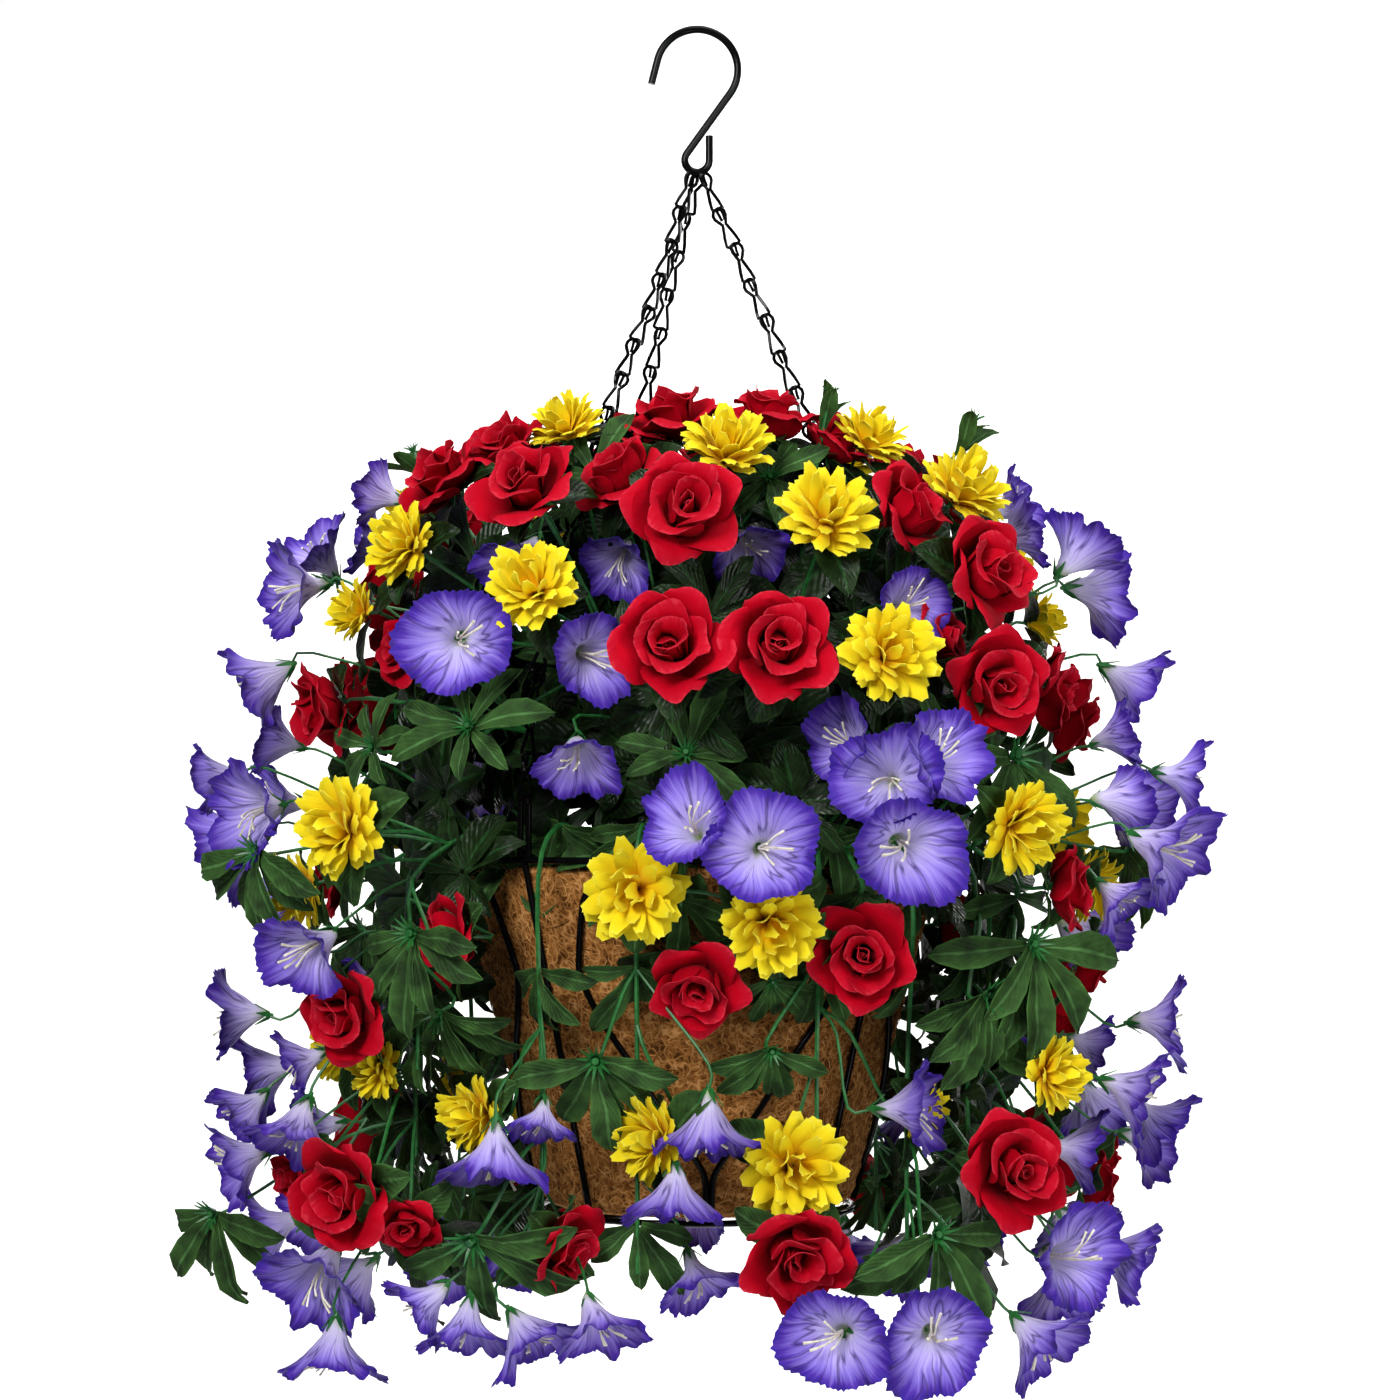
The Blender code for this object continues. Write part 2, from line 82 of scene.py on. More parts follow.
# S-hook, bent in the XZ plane. A bend's radius and its middle's height are those of the wire's middle line.
HOOK_WIRE = 2.4 * MM
HOOK_CROWN = 2.8 * MM  # the height of that line at the hook's top
HOOK_TOP_R = 25.0 * MM
HOOK_TOP_Z = HOOK_CROWN - HOOK_TOP_R
HOOK_TOP_START = 163  # degrees round the top bend, where the tip's straight ends
HOOK_EYE_R = 7.5 * MM
HOOK_EYE_Z = -78.0 * MM
HOOK_TIP = (-28.0 * MM, -31.0 * MM)
HOOK_EYE_END_Z = -63.0 * MM

# The frame's wires. A scroll's points are (share of the way down, degrees from its panel's middle).
WIRE = 1.9 * MM
RING_SWELL = 1.12  # how much thicker the rings' wire is drawn than the frame has it
RIB_AZIMUTHS = (-41.0, 49.0, 139.0, 229.0)
PANEL_AZIMUTHS = (4.0, 94.0, 184.0, 274.0)
SCROLL = (
    (0.02, 23.5), (0.09, 29.5), (0.15, 31.5), (0.25, 33.5), (0.32, 34.0), (0.43, 30.0), (0.53, 24.0),
    (0.62, 18.5), (0.70, 13.5), (0.78, 7.5), (0.85, 2.4), (0.90, 1.1), (0.985, 1.1),
)
HANGER_HALF_WIDTH = 3.2 * MM
HANGER_TOP = -473.2 * MM  # where its upper bend starts

# Where each chain is held on the rim (degrees) and in the hook's eye (mm across), and how it bows out over
# the flowers: (azimuth, reach, height) in degrees and mm
CHAIN_ENDS = {"front_left": -41.0, "right": 79.0, "back_left": 199.0}
CHAIN_ACROSS = {"front_left": -3.6, "right": 3.6, "back_left": 0.0}
CHAIN_ROUTES = {
    "front_left": ((-41, 36, -160), (-41, 68, -217), (-41, 108, -300), (-41, 136, -380), (-41, 148, -440)),
    "right": ((79, 31, -150), (79, 61, -223), (79, 95, -310), (79, 126, -390), (79, 146, -440)),
    "back_left": ((219, 25, -147), (220, 49, -217), (217, 82, -290), (210, 115, -360), (202, 143, -440)),
}
CHAIN_TOP_Z = -88.0  # mm
CHAIN_FOOT_Z = -469.0  # mm

# Every spray: its stem's azimuth, reach and height (degrees, mm), then its flowers and leaf sprays as
# (kind, azimuth, reach, height, facing azimuth, facing elevation, diameter).
# The stem of a crown spray ends at that point. A trailing stem goes over the rim and hangs down to it.
CROWN_SPRAYS = (
    ((-4, 70, -330), (
        ("rose", -2, 175, -307, 0, 15, 67), ("rose", -19, 140, -283, -50, 40, 56),
        ("mum", 8, 130, -267, 5, 50, 58), ("rose", -9, 90, -245, -20, 75, 60),
        ("rose", 27, 90, -244, 30, 75, 58), ("leaves", 22, 112, -284, 10, 25, 62),
        ("leaves", -30, 118, -282, -15, 25, 62),
    )),
    ((-4, 120, -410), (
        ("rose", -4, 215, -386, -5, 10, 62), ("rose", 12, 215, -386, 8, 10, 62),
        ("glory", 13, 128, -326, 20, -45, 45), ("glory", -20, 128, -332, -30, -45, 45),
        ("glory", -19, 185, -391, 30, -10, 50), ("glory", -21, 185, -447, 0, -50, 48),
        ("leaves", -2, 175, -445, 0, 20, 70),
    )),
    ((34, 120, -360), (
        ("mum", 24, 180, -310, 10, 35, 64), ("rose", 49, 110, -258, 60, 50, 48),
        ("mum", 52, 130, -257, 50, 50, 50), ("mum", 29, 220, -390, 15, 10, 61),
        ("glory", 38, 190, -361, 40, 0, 45), ("leaves", 41, 118, -234, 30, 70, 45),
    )),
    ((62, 120, -360), (
        ("rose", 42, 185, -305, 50, 30, 60), ("mum", 55, 190, -290, 50, 40, 60),
        ("rose", 48, 225, -341, 40, 10, 64), ("glory", 72, 200, -313, 90, 20, 45),
        ("glory", 80, 230, -322, 112, 48, 54), ("leaves", 58, 190, -250, 60, 60, 45),
    )),
    ((55, 130, -425), (
        ("rose", 48, 230, -406, 20, 0, 62), ("rose", 68, 225, -407, 85, 0, 52),
        ("rose", 46, 195, -380, 60, 10, 45), ("leaves", 43, 205, -440, 30, 0, 60),
    )),
    ((-27, 120, -370), (
        ("rose", -31, 190, -293, -30, 35, 62), ("mum", -40, 120, -251, -40, 60, 50),
        ("mum", -25, 215, -352, -15, 25, 57), ("glory", -37, 163, -333, -40, -50, 52),
        ("glory", -36, 225, -382, -5, -5, 60), ("leaves", -36, 215, -430, -30, 15, 70),
    )),
    ((-56, 120, -365), (
        ("rose", -60, 175, -281, -60, 35, 58), ("rose", -55, 140, -262, -40, 55, 52),
        ("mum", -56, 205, -323, -45, 20, 52), ("glory", -73, 195, -289, -100, 20, 42),
    )),
    ((-68, 130, -410), (
        ("glory", -78, 243, -343, -60, -5, 57), ("mum", -70, 215, -359, -70, 10, 42),
        ("rose", -62, 195, -384, -60, 0, 44), ("rose", -70, 235, -418, -75, -15, 57),
        ("glory", -82, 262, -399, -85, -30, 56), ("leaves", -60, 215, -440, -50, 10, 60),
    )),
)
TRAILING_SPRAYS = (
    ((-3, 165, -560), (
        ("glory", -1, 220, -485, -25, 25, 52), ("glory", 9, 225, -497, 0, 5, 60),
        ("mum", 12, 200, -540, 5, -15, 62), ("mum", -10, 195, -522, -8, 0, 66),
        ("rose", 0, 175, -576, 0, -28, 56), ("leaves", 15, 162, -572, 20, -20, 50),
    )),
    ((30, 180, -540), (
        ("glory", 25, 200, -440, -50, 15, 48), ("glory", 28, 225, -459, -15, 5, 58),
        ("glory", 33, 240, -449, 40, 15, 55), ("glory", 29, 235, -497, 15, -15, 62),
        ("rose", 27, 200, -557, 0, 0, 60),
    )),
    ((66, 198, -562), (
        ("mum", 47, 250, -486, 40, -15, 58), ("glory", 72, 258, -471, 110, 0, 46),
        ("glory", 76, 255, -434, 80, 15, 44), ("glory", 79, 292, -456, 85, -10, 48),
        ("glory", 68, 290, -499, 60, -25, 64), ("glory", 66, 265, -527, 60, -40, 46),
        ("rose", 58, 250, -520, 80, 0, 50), ("rose", 70, 245, -566, 90, -10, 36),
        ("leaves", 55, 220, -446, 44, 16, 100), ("leaves", 53, 236, -552, 35, 5, 92),
    )),
    ((61, 180, -680), (
        ("glory", 76, 280, -601, 80, 0, 52), ("glory", 68, 270, -638, 75, -20, 54),
        ("glory", 76, 275, -658, 100, -40, 48), ("mum", 56, 245, -626, 50, 0, 50),
        ("glory", 66, 240, -672, 90, -10, 48), ("rose", 74, 245, -695, 100, 0, 36),
        ("glory", 60, 210, -591, 70, -20, 48), ("leaves", 46, 225, -580, 40, 0, 90),
    )),
    ((44, 172, -750), (
        ("rose", 48, 240, -677, 30, 5, 65), ("glory", 57, 250, -728, 35, 0, 60),
        ("glory", 68, 265, -735, 80, -20, 55), ("glory", 51, 245, -772, 60, -40, 56),
        ("glory", 34, 230, -766, 5, -5, 58), ("glory", 21, 215, -763, -10, -5, 56),
        ("leaves", 38, 215, -712, 30, 10, 90),
    )),
    ((25, 160, -710), (
        ("mum", 17, 190, -673, 10, 0, 65), ("rose", 16, 200, -721, 10, -25, 62),
        ("glory", 36, 200, -643, 75, 0, 56), ("mum", 44, 185, -646, 60, 0, 36),
        ("leaves", 14, 172, -610, 10, -20, 60),
    )),
    ((-12, 160, -735), (
        ("mum", -9, 175, -659, -60, 0, 54), ("glory", 2, 185, -651, 0, -80, 58),
        ("glory", -4, 185, -689, -10, -80, 54), ("glory", 0, 150, -738, 40, -60, 48),
        ("leaves", -18, 180, -615, -10, -10, 90),
    )),
    ((-32, 165, -745), (
        ("mum", -42, 190, -648, -60, 0, 48), ("glory", -34, 202, -669, -20, -80, 60),
        ("glory", -28, 185, -649, -20, -75, 40), ("rose", -22, 190, -718, 60, -20, 50),
        ("glory", -16, 200, -758, 30, -60, 50), ("glory", -27, 205, -766, 60, -50, 52),
        ("glory", -36, 215, -762, -10, -70, 48), ("glory", -42, 225, -749, -80, -40, 46),
        ("leaves", -34, 220, -712, -30, -30, 110),
    )),
    ((-66, 180, -740), (
        ("rose", -51, 255, -692, -30, -10, 62), ("rose", -46, 225, -710, 0, -20, 36),
        ("glory", -58, 252, -739, -30, -40, 62), ("glory", -56, 247, -781, -20, -80, 54),
        ("glory", -64, 255, -659, -40, -60, 58), ("glory", -72, 278, -680, -70, -20, 52),
        ("rose", -72, 250, -690, -60, -20, 32), ("leaves", -77, 290, -712, -42, -8, 80),
    )),
    ((-55, 195, -625), (
        ("mum", -52, 255, -486, -35, 5, 62), ("mum", -66, 252, -523, -70, -20, 52),
        ("glory", -68, 275, -477, -45, -10, 58), ("glory", -58, 258, -555, -40, -30, 57),
        ("rose", -58, 238, -593, -40, -15, 58), ("mum", -62, 210, -624, -50, 0, 42),
        ("glory", -69, 245, -621, -80, -20, 42), ("rose", -49, 190, -548, -70, 0, 56),
        ("leaves", -45, 205, -590, -40, -30, 80), ("leaves", -42, 235, -545, -35, 5, 84),
        ("leaves", -66, 276, -500, -45, 5, 84),
    )),
)
MIDDLE_SPRAYS = 15  # degrees either side of the front
BACK_SPREAD = 12  # degrees more than half a turn, for the back's copy of any other spray
SIDE_LEAVES = 75  # degrees: leaves further round than this stand only once, at the front
OVER_RIM = ((120, 0.0), (121, 10.0), (128, 25.0), (148, 35.0))  # reach, and height above the foam, in mm
HANG_Z = -515  # mm: where a trailing stem has come over the rim and starts to hang

# A petal or leaf: how many stand in one whorl, where its foot is (reach and height), its length and half
# width, its slope at the foot, the wall and the lip (degrees above level), the radius it is curled to
# across, how far its side edges roll back, and how far its corners drop short of its tip. All in mm.
Blade = namedtuple("Blade", "count reach height length half_width foot wall lip curl roll corner")

ROSE_SIZE = 62.0
ROSE_WHORLS = (
    Blade(2, 2.0, -9.0, 20.0, 9.5, 66, 94, 80, 7.0, 0.4, 0.12),
    Blade(3, 3.2, -11.0, 25.0, 15.5, 46, 90, 28, 10.5, 1.0, 0.12),
    Blade(4, 4.0, -13.0, 29.5, 18.5, 26, 78, -14, 16.0, 1.8, 0.14),
    Blade(5, 4.0, -14.0, 36.0, 19.0, 6, 50, -38, 30.0, 5.0, 0.30),
)
MUM_SIZE = 60.0
MUM_PETALS = 45
MUM_DOME = (29.0, 20.5)  # how far out and how far up the petals' tips reach
MUM_SPREAD = 116.0  # degrees from straight up that the outermost petals lean
MUM_TEETH = (0.97, 1.0, 0.955, 1.0, 0.97)  # the tip's outline, from side to side
GOLDEN_ANGLE = 137.508

GLORY_SIZE = 61.0
# The trumpet's outline from its base to its rim: reach and height in mm
GLORY_OUTLINE = (
    (0.5, -22.3), (3.4, -18.4), (5.4, -13.5), (7.6, -8.8), (10.8, -4.2),
    (14.6, 0.2), (18.8, 4.2), (23.0, 7.8), (27.0, 10.8), (30.6, 12.8),
)
GLORY_TEETH = 47

# How far a flower's foot is behind its middle, as a share of its diameter
FLOWER_BASE = {"rose": 0.25, "mum": 0.24, "glory": 0.36, "leaves": 0.0}

# The dome of inner leaves: where its middle is, and how wide its shell and its core are
DOME_Z = -460 * MM
DOME_R = 164 * MM
DOME_TOP = 190 * MM  # how far the shell's top stands above its middle
DOME_CORE_R = 105 * MM
DOME_TALL = 1.16  # how much taller than wide it is
ROSETTE_SIZE = 98 * MM  # across a rosette of leaves at their full size
INNER_HANG_R = 172 * MM  # how far out leaves darkened as painted shade hang between the stems and the basket's sides


def linear(code):
    """An sRGB hex colour as linear red, green and blue."""
    parts = [int(code[i:i + 2], 16) / 255 for i in (1, 3, 5)]
    return tuple(p / 12.92 if p <= 0.04045 else ((p + 0.055) / 1.055) ** 2.4 for p in parts)


class BasketSizes(PropertyGroup):
    petal: FloatProperty(
        name="Petal cloth", description="Thickness of the pressed petal cloth",
        default=0.45 * MM, min=0.1 * MM, unit="LENGTH",
    )
    leaf: FloatProperty(
        name="Leaf cloth", description="Thickness of the waxed leaf cloth",
        default=0.5 * MM, min=0.1 * MM, unit="LENGTH",
    )
    stem: FloatProperty(
        name="Stem", description="Radius of the main plastic stems",
        default=1.8 * MM, min=0.5 * MM, unit="LENGTH",
    )
    twig: FloatProperty(
        name="Twig", description="Radius of the side stems that carry the flowers",
        default=1.15 * MM, min=0.3 * MM, unit="LENGTH",
    )
    link_wire: FloatProperty(
        name="Chain wire", description="Radius of the wire that the chain links are bent from",
        default=1.1 * MM, min=0.3 * MM, unit="LENGTH",
    )
    link_pitch: FloatProperty(
        name="Link pitch", description="Length of chain that one link takes up",
        default=24.0 * MM, min=8.0 * MM, unit="LENGTH",
    )
    fibres: IntProperty(
        name="Loose fibres", description="How many coir fibres stand on the lining's face",
        default=2200, min=0,
    )
    inner_rosettes: IntProperty(
        name="Inner leaf rosettes", description="How many rosettes of leaves fill the dome's shell",
        default=98, min=0,
    )


class BasketColours(PropertyGroup):
    rose: FloatVectorProperty(
        name="Rose red", description="Dye of the rose petals",
        subtype="COLOR", size=3, default=linear("#A90118"),
    )
    mum: FloatVectorProperty(
        name="Chrysanthemum yellow", description="Dye of the chrysanthemum petals",
        subtype="COLOR", size=3, default=linear("#E8CE1A"),
    )
    glory: FloatVectorProperty(
        name="Morning glory violet", description="Dye at the rim of the morning glories",
        subtype="COLOR", size=3, default=linear("#4C2C9E"),
    )
    leaf: FloatVectorProperty(
        name="Leaf green", description="Print on the leaves' faces",
        subtype="COLOR", size=3, default=linear("#223A18"),
    )
    stem: FloatVectorProperty(
        name="Stem green", description="Plastic of the stems",
        subtype="COLOR", size=3, default=linear("#236A2E"),
    )
    wire: FloatVectorProperty(
        name="Wire black", description="Powder coat of the wires",
        subtype="COLOR", size=3, default=linear("#060607"),
    )
    coir: FloatVectorProperty(
        name="Coir", description="Middle brown of the coconut fibre",
        subtype="COLOR", size=3, default=linear("#9C6632"),
    )


# Shaders


def add_node(tree, kind, inputs=None, stops=None, output=0, **settings):
    """Adds a shader node with its settings, fills or links its inputs, and returns one of its outputs.
    stops are a ramp's colours."""
    node = tree.nodes.new("ShaderNode" + kind)
    for name, value in settings.items():
        setattr(node, name, value)
    for name, value in (inputs or {}).items():
        if isinstance(value, bpy.types.NodeSocket):
            tree.links.new(value, node.inputs[name])
        else:
            node.inputs[name].default_value = value
    if stops:
        ramp = node.color_ramp
        while len(ramp.elements) < len(stops):
            ramp.elements.new(0.5)
        for element, (position, colour) in zip(ramp.elements, stops):
            element.position = position
            element.color = (*(linear(colour) if isinstance(colour, str) else colour), 1)
    return node.outputs[output]


def new_material(name, **values):
    """A plain material and its node tree, with these values set on its Principled shader."""
    made = bpy.data.materials.new(name)
    made.use_nodes = True
    shader = made.node_tree.nodes["Principled BSDF"]
    for socket, value in values.items():
        shader.inputs[socket.replace("_", " ")].default_value = value
    return made, made.node_tree


def finish_surface(made, colour, wear, roughness, relief, strength, depth):
    """Links a material's colour and relief, and its roughness, which the wear moves between two values."""
    tree = made.node_tree
    shader = tree.nodes["Principled BSDF"]
    rough = add_node(tree, "MapRange", {"Value": wear, "To Min": roughness[0], "To Max": roughness[1]})
    bump = add_node(tree, "Bump", {"Height": relief, "Strength": strength, "Distance": depth})
    tree.links.new(colour, shader.inputs["Base Color"])
    tree.links.new(rough, shader.inputs["Roughness"])
    tree.links.new(bump, shader.inputs["Normal"])
    return made


def shade(colour, by):
    """The colour made darker or lighter."""
    return tuple(min(part * by, 1) for part in colour)


def streaked(tree, across, along, detail=3.0):
    """Noise drawn out from the base to the tip of a petal: this many streaks across and along it."""
    blade = add_node(tree, "UVMap", uv_map=BLADE_MAP)
    stretched = add_node(tree, "Mapping", {"Vector": blade, "Scale": (across, along, 1)})
    grain = add_node(tree, "TexNoise", {"Vector": stretched, "Scale": 1.0, "Detail": detail})
    return blade, grain


def petal_cloth(name, stops, streaks, ribs, sheen):
    """Dyed polyester cloth, pressed into petals: matt, with a soft bloom, ribs from base to tip and a colour
    that changes along the petal, partly the dye and partly painted light and shade, as each finish's stops
    set."""
    made, tree = new_material(name, Sheen_Weight=sheen, Sheen_Roughness=0.4, Specular_IOR_Level=0.04)
    blade, grain = streaked(tree, ribs, 1.5)
    along = add_node(tree, "SeparateXYZ", {"Vector": blade}, output="Y")
    place = add_node(tree, "TexCoord", output="Object")
    # dye mottling about 7 mm across
    mottle = add_node(tree, "TexNoise", {"Vector": place, "Scale": 1 / (7 * MM)})
    mixed = add_node(tree, "Math", {0: grain, 1: mottle}, operation="ADD")
    spread = add_node(tree, "Math", {0: mixed, 1: streaks, 2: along}, operation="MULTIPLY_ADD")
    centred = add_node(tree, "Math", {0: spread, 1: streaks}, operation="SUBTRACT")
    # the colour along the petal from the finish's stops: dye, with painted light and shade
    ramp_colour = add_node(tree, "ValToRGB", {"Fac": centred}, stops)
    # cloth weave, drawn at 1.2 mm where the real threads are 0.3 mm
    weave = add_node(tree, "TexNoise", {"Vector": place, "Scale": 1 / (1.2 * MM)})
    relief = add_node(tree, "Math", {0: weave, 1: 0.35, 2: grain}, operation="MULTIPLY_ADD")
    return finish_surface(made, ramp_colour, mottle, (0.68, 0.9), relief, 0.5, 0.5 * MM)


def glory_cloth(name, stops, colours, vein):
    """Dyed polyester satin of a trumpet: streaks and thin dark lines run from the throat to the darker rim.
    The lines are partly printed veins and partly painted shade in the pleats' creases.
    """
    made, tree = new_material(name, Sheen_Weight=0.1, Sheen_Roughness=0.35, Specular_IOR_Level=0.2)
    blade, streaks = streaked(tree, 56.0, 1.2, 4.0)
    along = add_node(tree, "SeparateXYZ", {"Vector": blade}, output="Y")
    spread = add_node(tree, "Math", {0: streaks, 1: 0.56, 2: along}, operation="MULTIPLY_ADD")
    centred = add_node(tree, "Math", {0: spread, 1: 0.28}, operation="SUBTRACT")
    ramp_colour = add_node(tree, "ValToRGB", {"Fac": centred}, stops)
    # dark lines about 8 mm apart at the rim, partly printed veins and partly painted shade in the pleats'
    # creases, drawn where a stretched noise crosses its middle value
    broad = add_node(tree, "Mapping", {"Vector": blade, "Scale": (15.0, 0.8, 1), "Location": (3, 7, 0)})
    vein_grain = add_node(tree, "TexNoise", {"Vector": broad, "Scale": 1.0, "Detail": 1.0})
    middle = add_node(tree, "Math", {0: vein_grain, 1: 0.5}, operation="SUBTRACT")
    off_middle = add_node(tree, "Math", {0: middle}, operation="ABSOLUTE")
    line = add_node(tree, "MapRange", {
        "Value": off_middle, "From Max": 0.035, "To Min": vein, "To Max": 0.0,
    })
    reach = add_node(tree, "MapRange", {"Value": along, "From Min": 0.3, "From Max": 0.5})
    drawn = add_node(tree, "Math", {0: line, 1: reach}, operation="MULTIPLY")
    veined_and_crease_shaded = add_node(
        tree, "Mix", {"Factor": drawn, "A": ramp_colour, "B": (*shade(colours.glory, 0.3), 1)},
        output=2, data_type="RGBA",
    )
    return finish_surface(made, veined_and_crease_shaded, streaks, (0.55, 0.8), streaks, 0.9, 1.0 * MM)


def leaf_cloth(name, colour, gloss, rib, shine):
    """Printed and waxed polyester leaf: a pale midrib, slanting side veins and lighter edges, partly print
    and partly painted highlight. The wax gives the face a broad wet highlight, and the back stays dull."""
    made, tree = new_material(name, Specular_IOR_Level=shine)
    blade = add_node(tree, "UVMap", uv_map=BLADE_MAP)
    breadth = add_node(tree, "SeparateXYZ", {"Vector": blade}, output="X")
    along = breadth.node.outputs["Y"]
    from_rib = add_node(tree, "Math", {0: breadth, 1: 0.5}, operation="SUBTRACT")
    side = add_node(tree, "Math", {0: from_rib}, operation="ABSOLUTE")
    # lighter towards the edges: partly the print, partly painted highlight
    across = add_node(tree, "ValToRGB", {"Fac": side}, (
        (0.0, rib), (0.035, rib), (0.07, colour), (0.40, shade(colour, 1.25)), (0.5, shade(colour, 1.9)),
    ))
    place = add_node(tree, "TexCoord", output="Object")
    # patches of darker and lighter print, about 14 mm across; the lightest are also painted highlight
    patches = add_node(tree, "TexNoise", {"Vector": place, "Scale": 1 / (14 * MM)})
    tone = add_node(tree, "MapRange", {
        "Value": patches, "From Min": 0.3, "From Max": 0.7, "To Min": 0.45, "To Max": 1.85,
    })
    shown = add_node(tree, "VectorMath", {0: across, 1: tone}, operation="MULTIPLY")
    # side veins, nine to a leaf, slanting towards the tip
    slant = add_node(tree, "Math", {0: side, 1: -0.7, 2: along}, operation="MULTIPLY_ADD")
    phase = add_node(tree, "Math", {0: slant, 1: 9 * math.tau}, operation="MULTIPLY")
    vein = add_node(tree, "Math", {0: phase}, operation="SINE")
    # the cloth is also crinkled, with folds 9 mm apart
    folds = add_node(tree, "TexNoise", {"Vector": place, "Scale": 1 / (9 * MM)})
    groove = add_node(tree, "Math", {0: folds, 1: 16.0, 2: vein}, operation="MULTIPLY_ADD")
    return finish_surface(made, shown, patches, (gloss - 0.12, gloss + 0.22), groove, 0.5, 0.25 * MM)


def grained(name, stops, grain, roughness, relief, **values):
    """A material whose colour, roughness and relief all follow one noise of this grain size."""
    made, tree = new_material(name, **values)
    place = add_node(tree, "TexCoord", output="Object")
    pattern = add_node(tree, "TexNoise", {"Vector": place, "Scale": 1 / grain, "Detail": 4.0})
    colour = add_node(tree, "ValToRGB", {"Fac": pattern}, stops)
    return finish_surface(made, colour, pattern, roughness, pattern, 0.4, relief)


def coir_mat(colours):
    """Latex-bonded coconut fibre: curly strands lying over each other, with painted shade in the dark gaps
    between them, quite matt.
    """
    made, tree = new_material("coir_mat", Specular_IOR_Level=0.05)
    place = add_node(tree, "TexCoord", output="Object")
    strands = None
    # each layer's strands follow the contour lines of a noise, drawn 0.6 mm thick where real ones have 0.3
    for layer_number, curl in enumerate((9, 7, 11, 6, 8, 10)):
        away_from_last = (1.3 * layer_number, 0.7 * layer_number, 0)
        moved = add_node(tree, "Mapping", {"Vector": place, "Location": away_from_last})
        field = add_node(tree, "TexNoise", {"Vector": moved, "Scale": 1 / (curl * MM), "Detail": 1.0})
        centred = add_node(tree, "Math", {0: field, 1: 0.5}, operation="SUBTRACT")
        away = add_node(tree, "Math", {0: centred}, operation="ABSOLUTE")
        layer = add_node(tree, "MapRange", {
            "Value": away, "From Max": 0.07, "To Min": 1 - 0.1 * layer_number, "To Max": 0.0,
        })
        if strands:
            layer = add_node(tree, "Math", {0: strands, 1: layer}, operation="MAXIMUM")
        strands = layer
    # and the mat is darker and lighter in clumps 6 mm across
    clumps = add_node(tree, "TexNoise", {"Vector": place, "Scale": 1 / (6 * MM), "Detail": 3.0})
    tone = add_node(tree, "MapRange", {"Value": clumps, "To Min": 0.22, "To Max": 0.68})
    mixed = add_node(tree, "Math", {0: strands, 1: 0.6, 2: tone}, operation="MULTIPLY_ADD")
    # dark brown where no strand lies: painted shade in the gaps between the strands
    colour = add_node(tree, "ValToRGB", {"Fac": mixed}, (
        (0.42, "#4A2C14"), (0.62, "#724820"), (0.84, tuple(colours.coir)), (1.0, "#C08C54"),
    ))
    return finish_surface(made, colour, clumps, (0.75, 1.0), mixed, 0.8, 1.0 * MM)


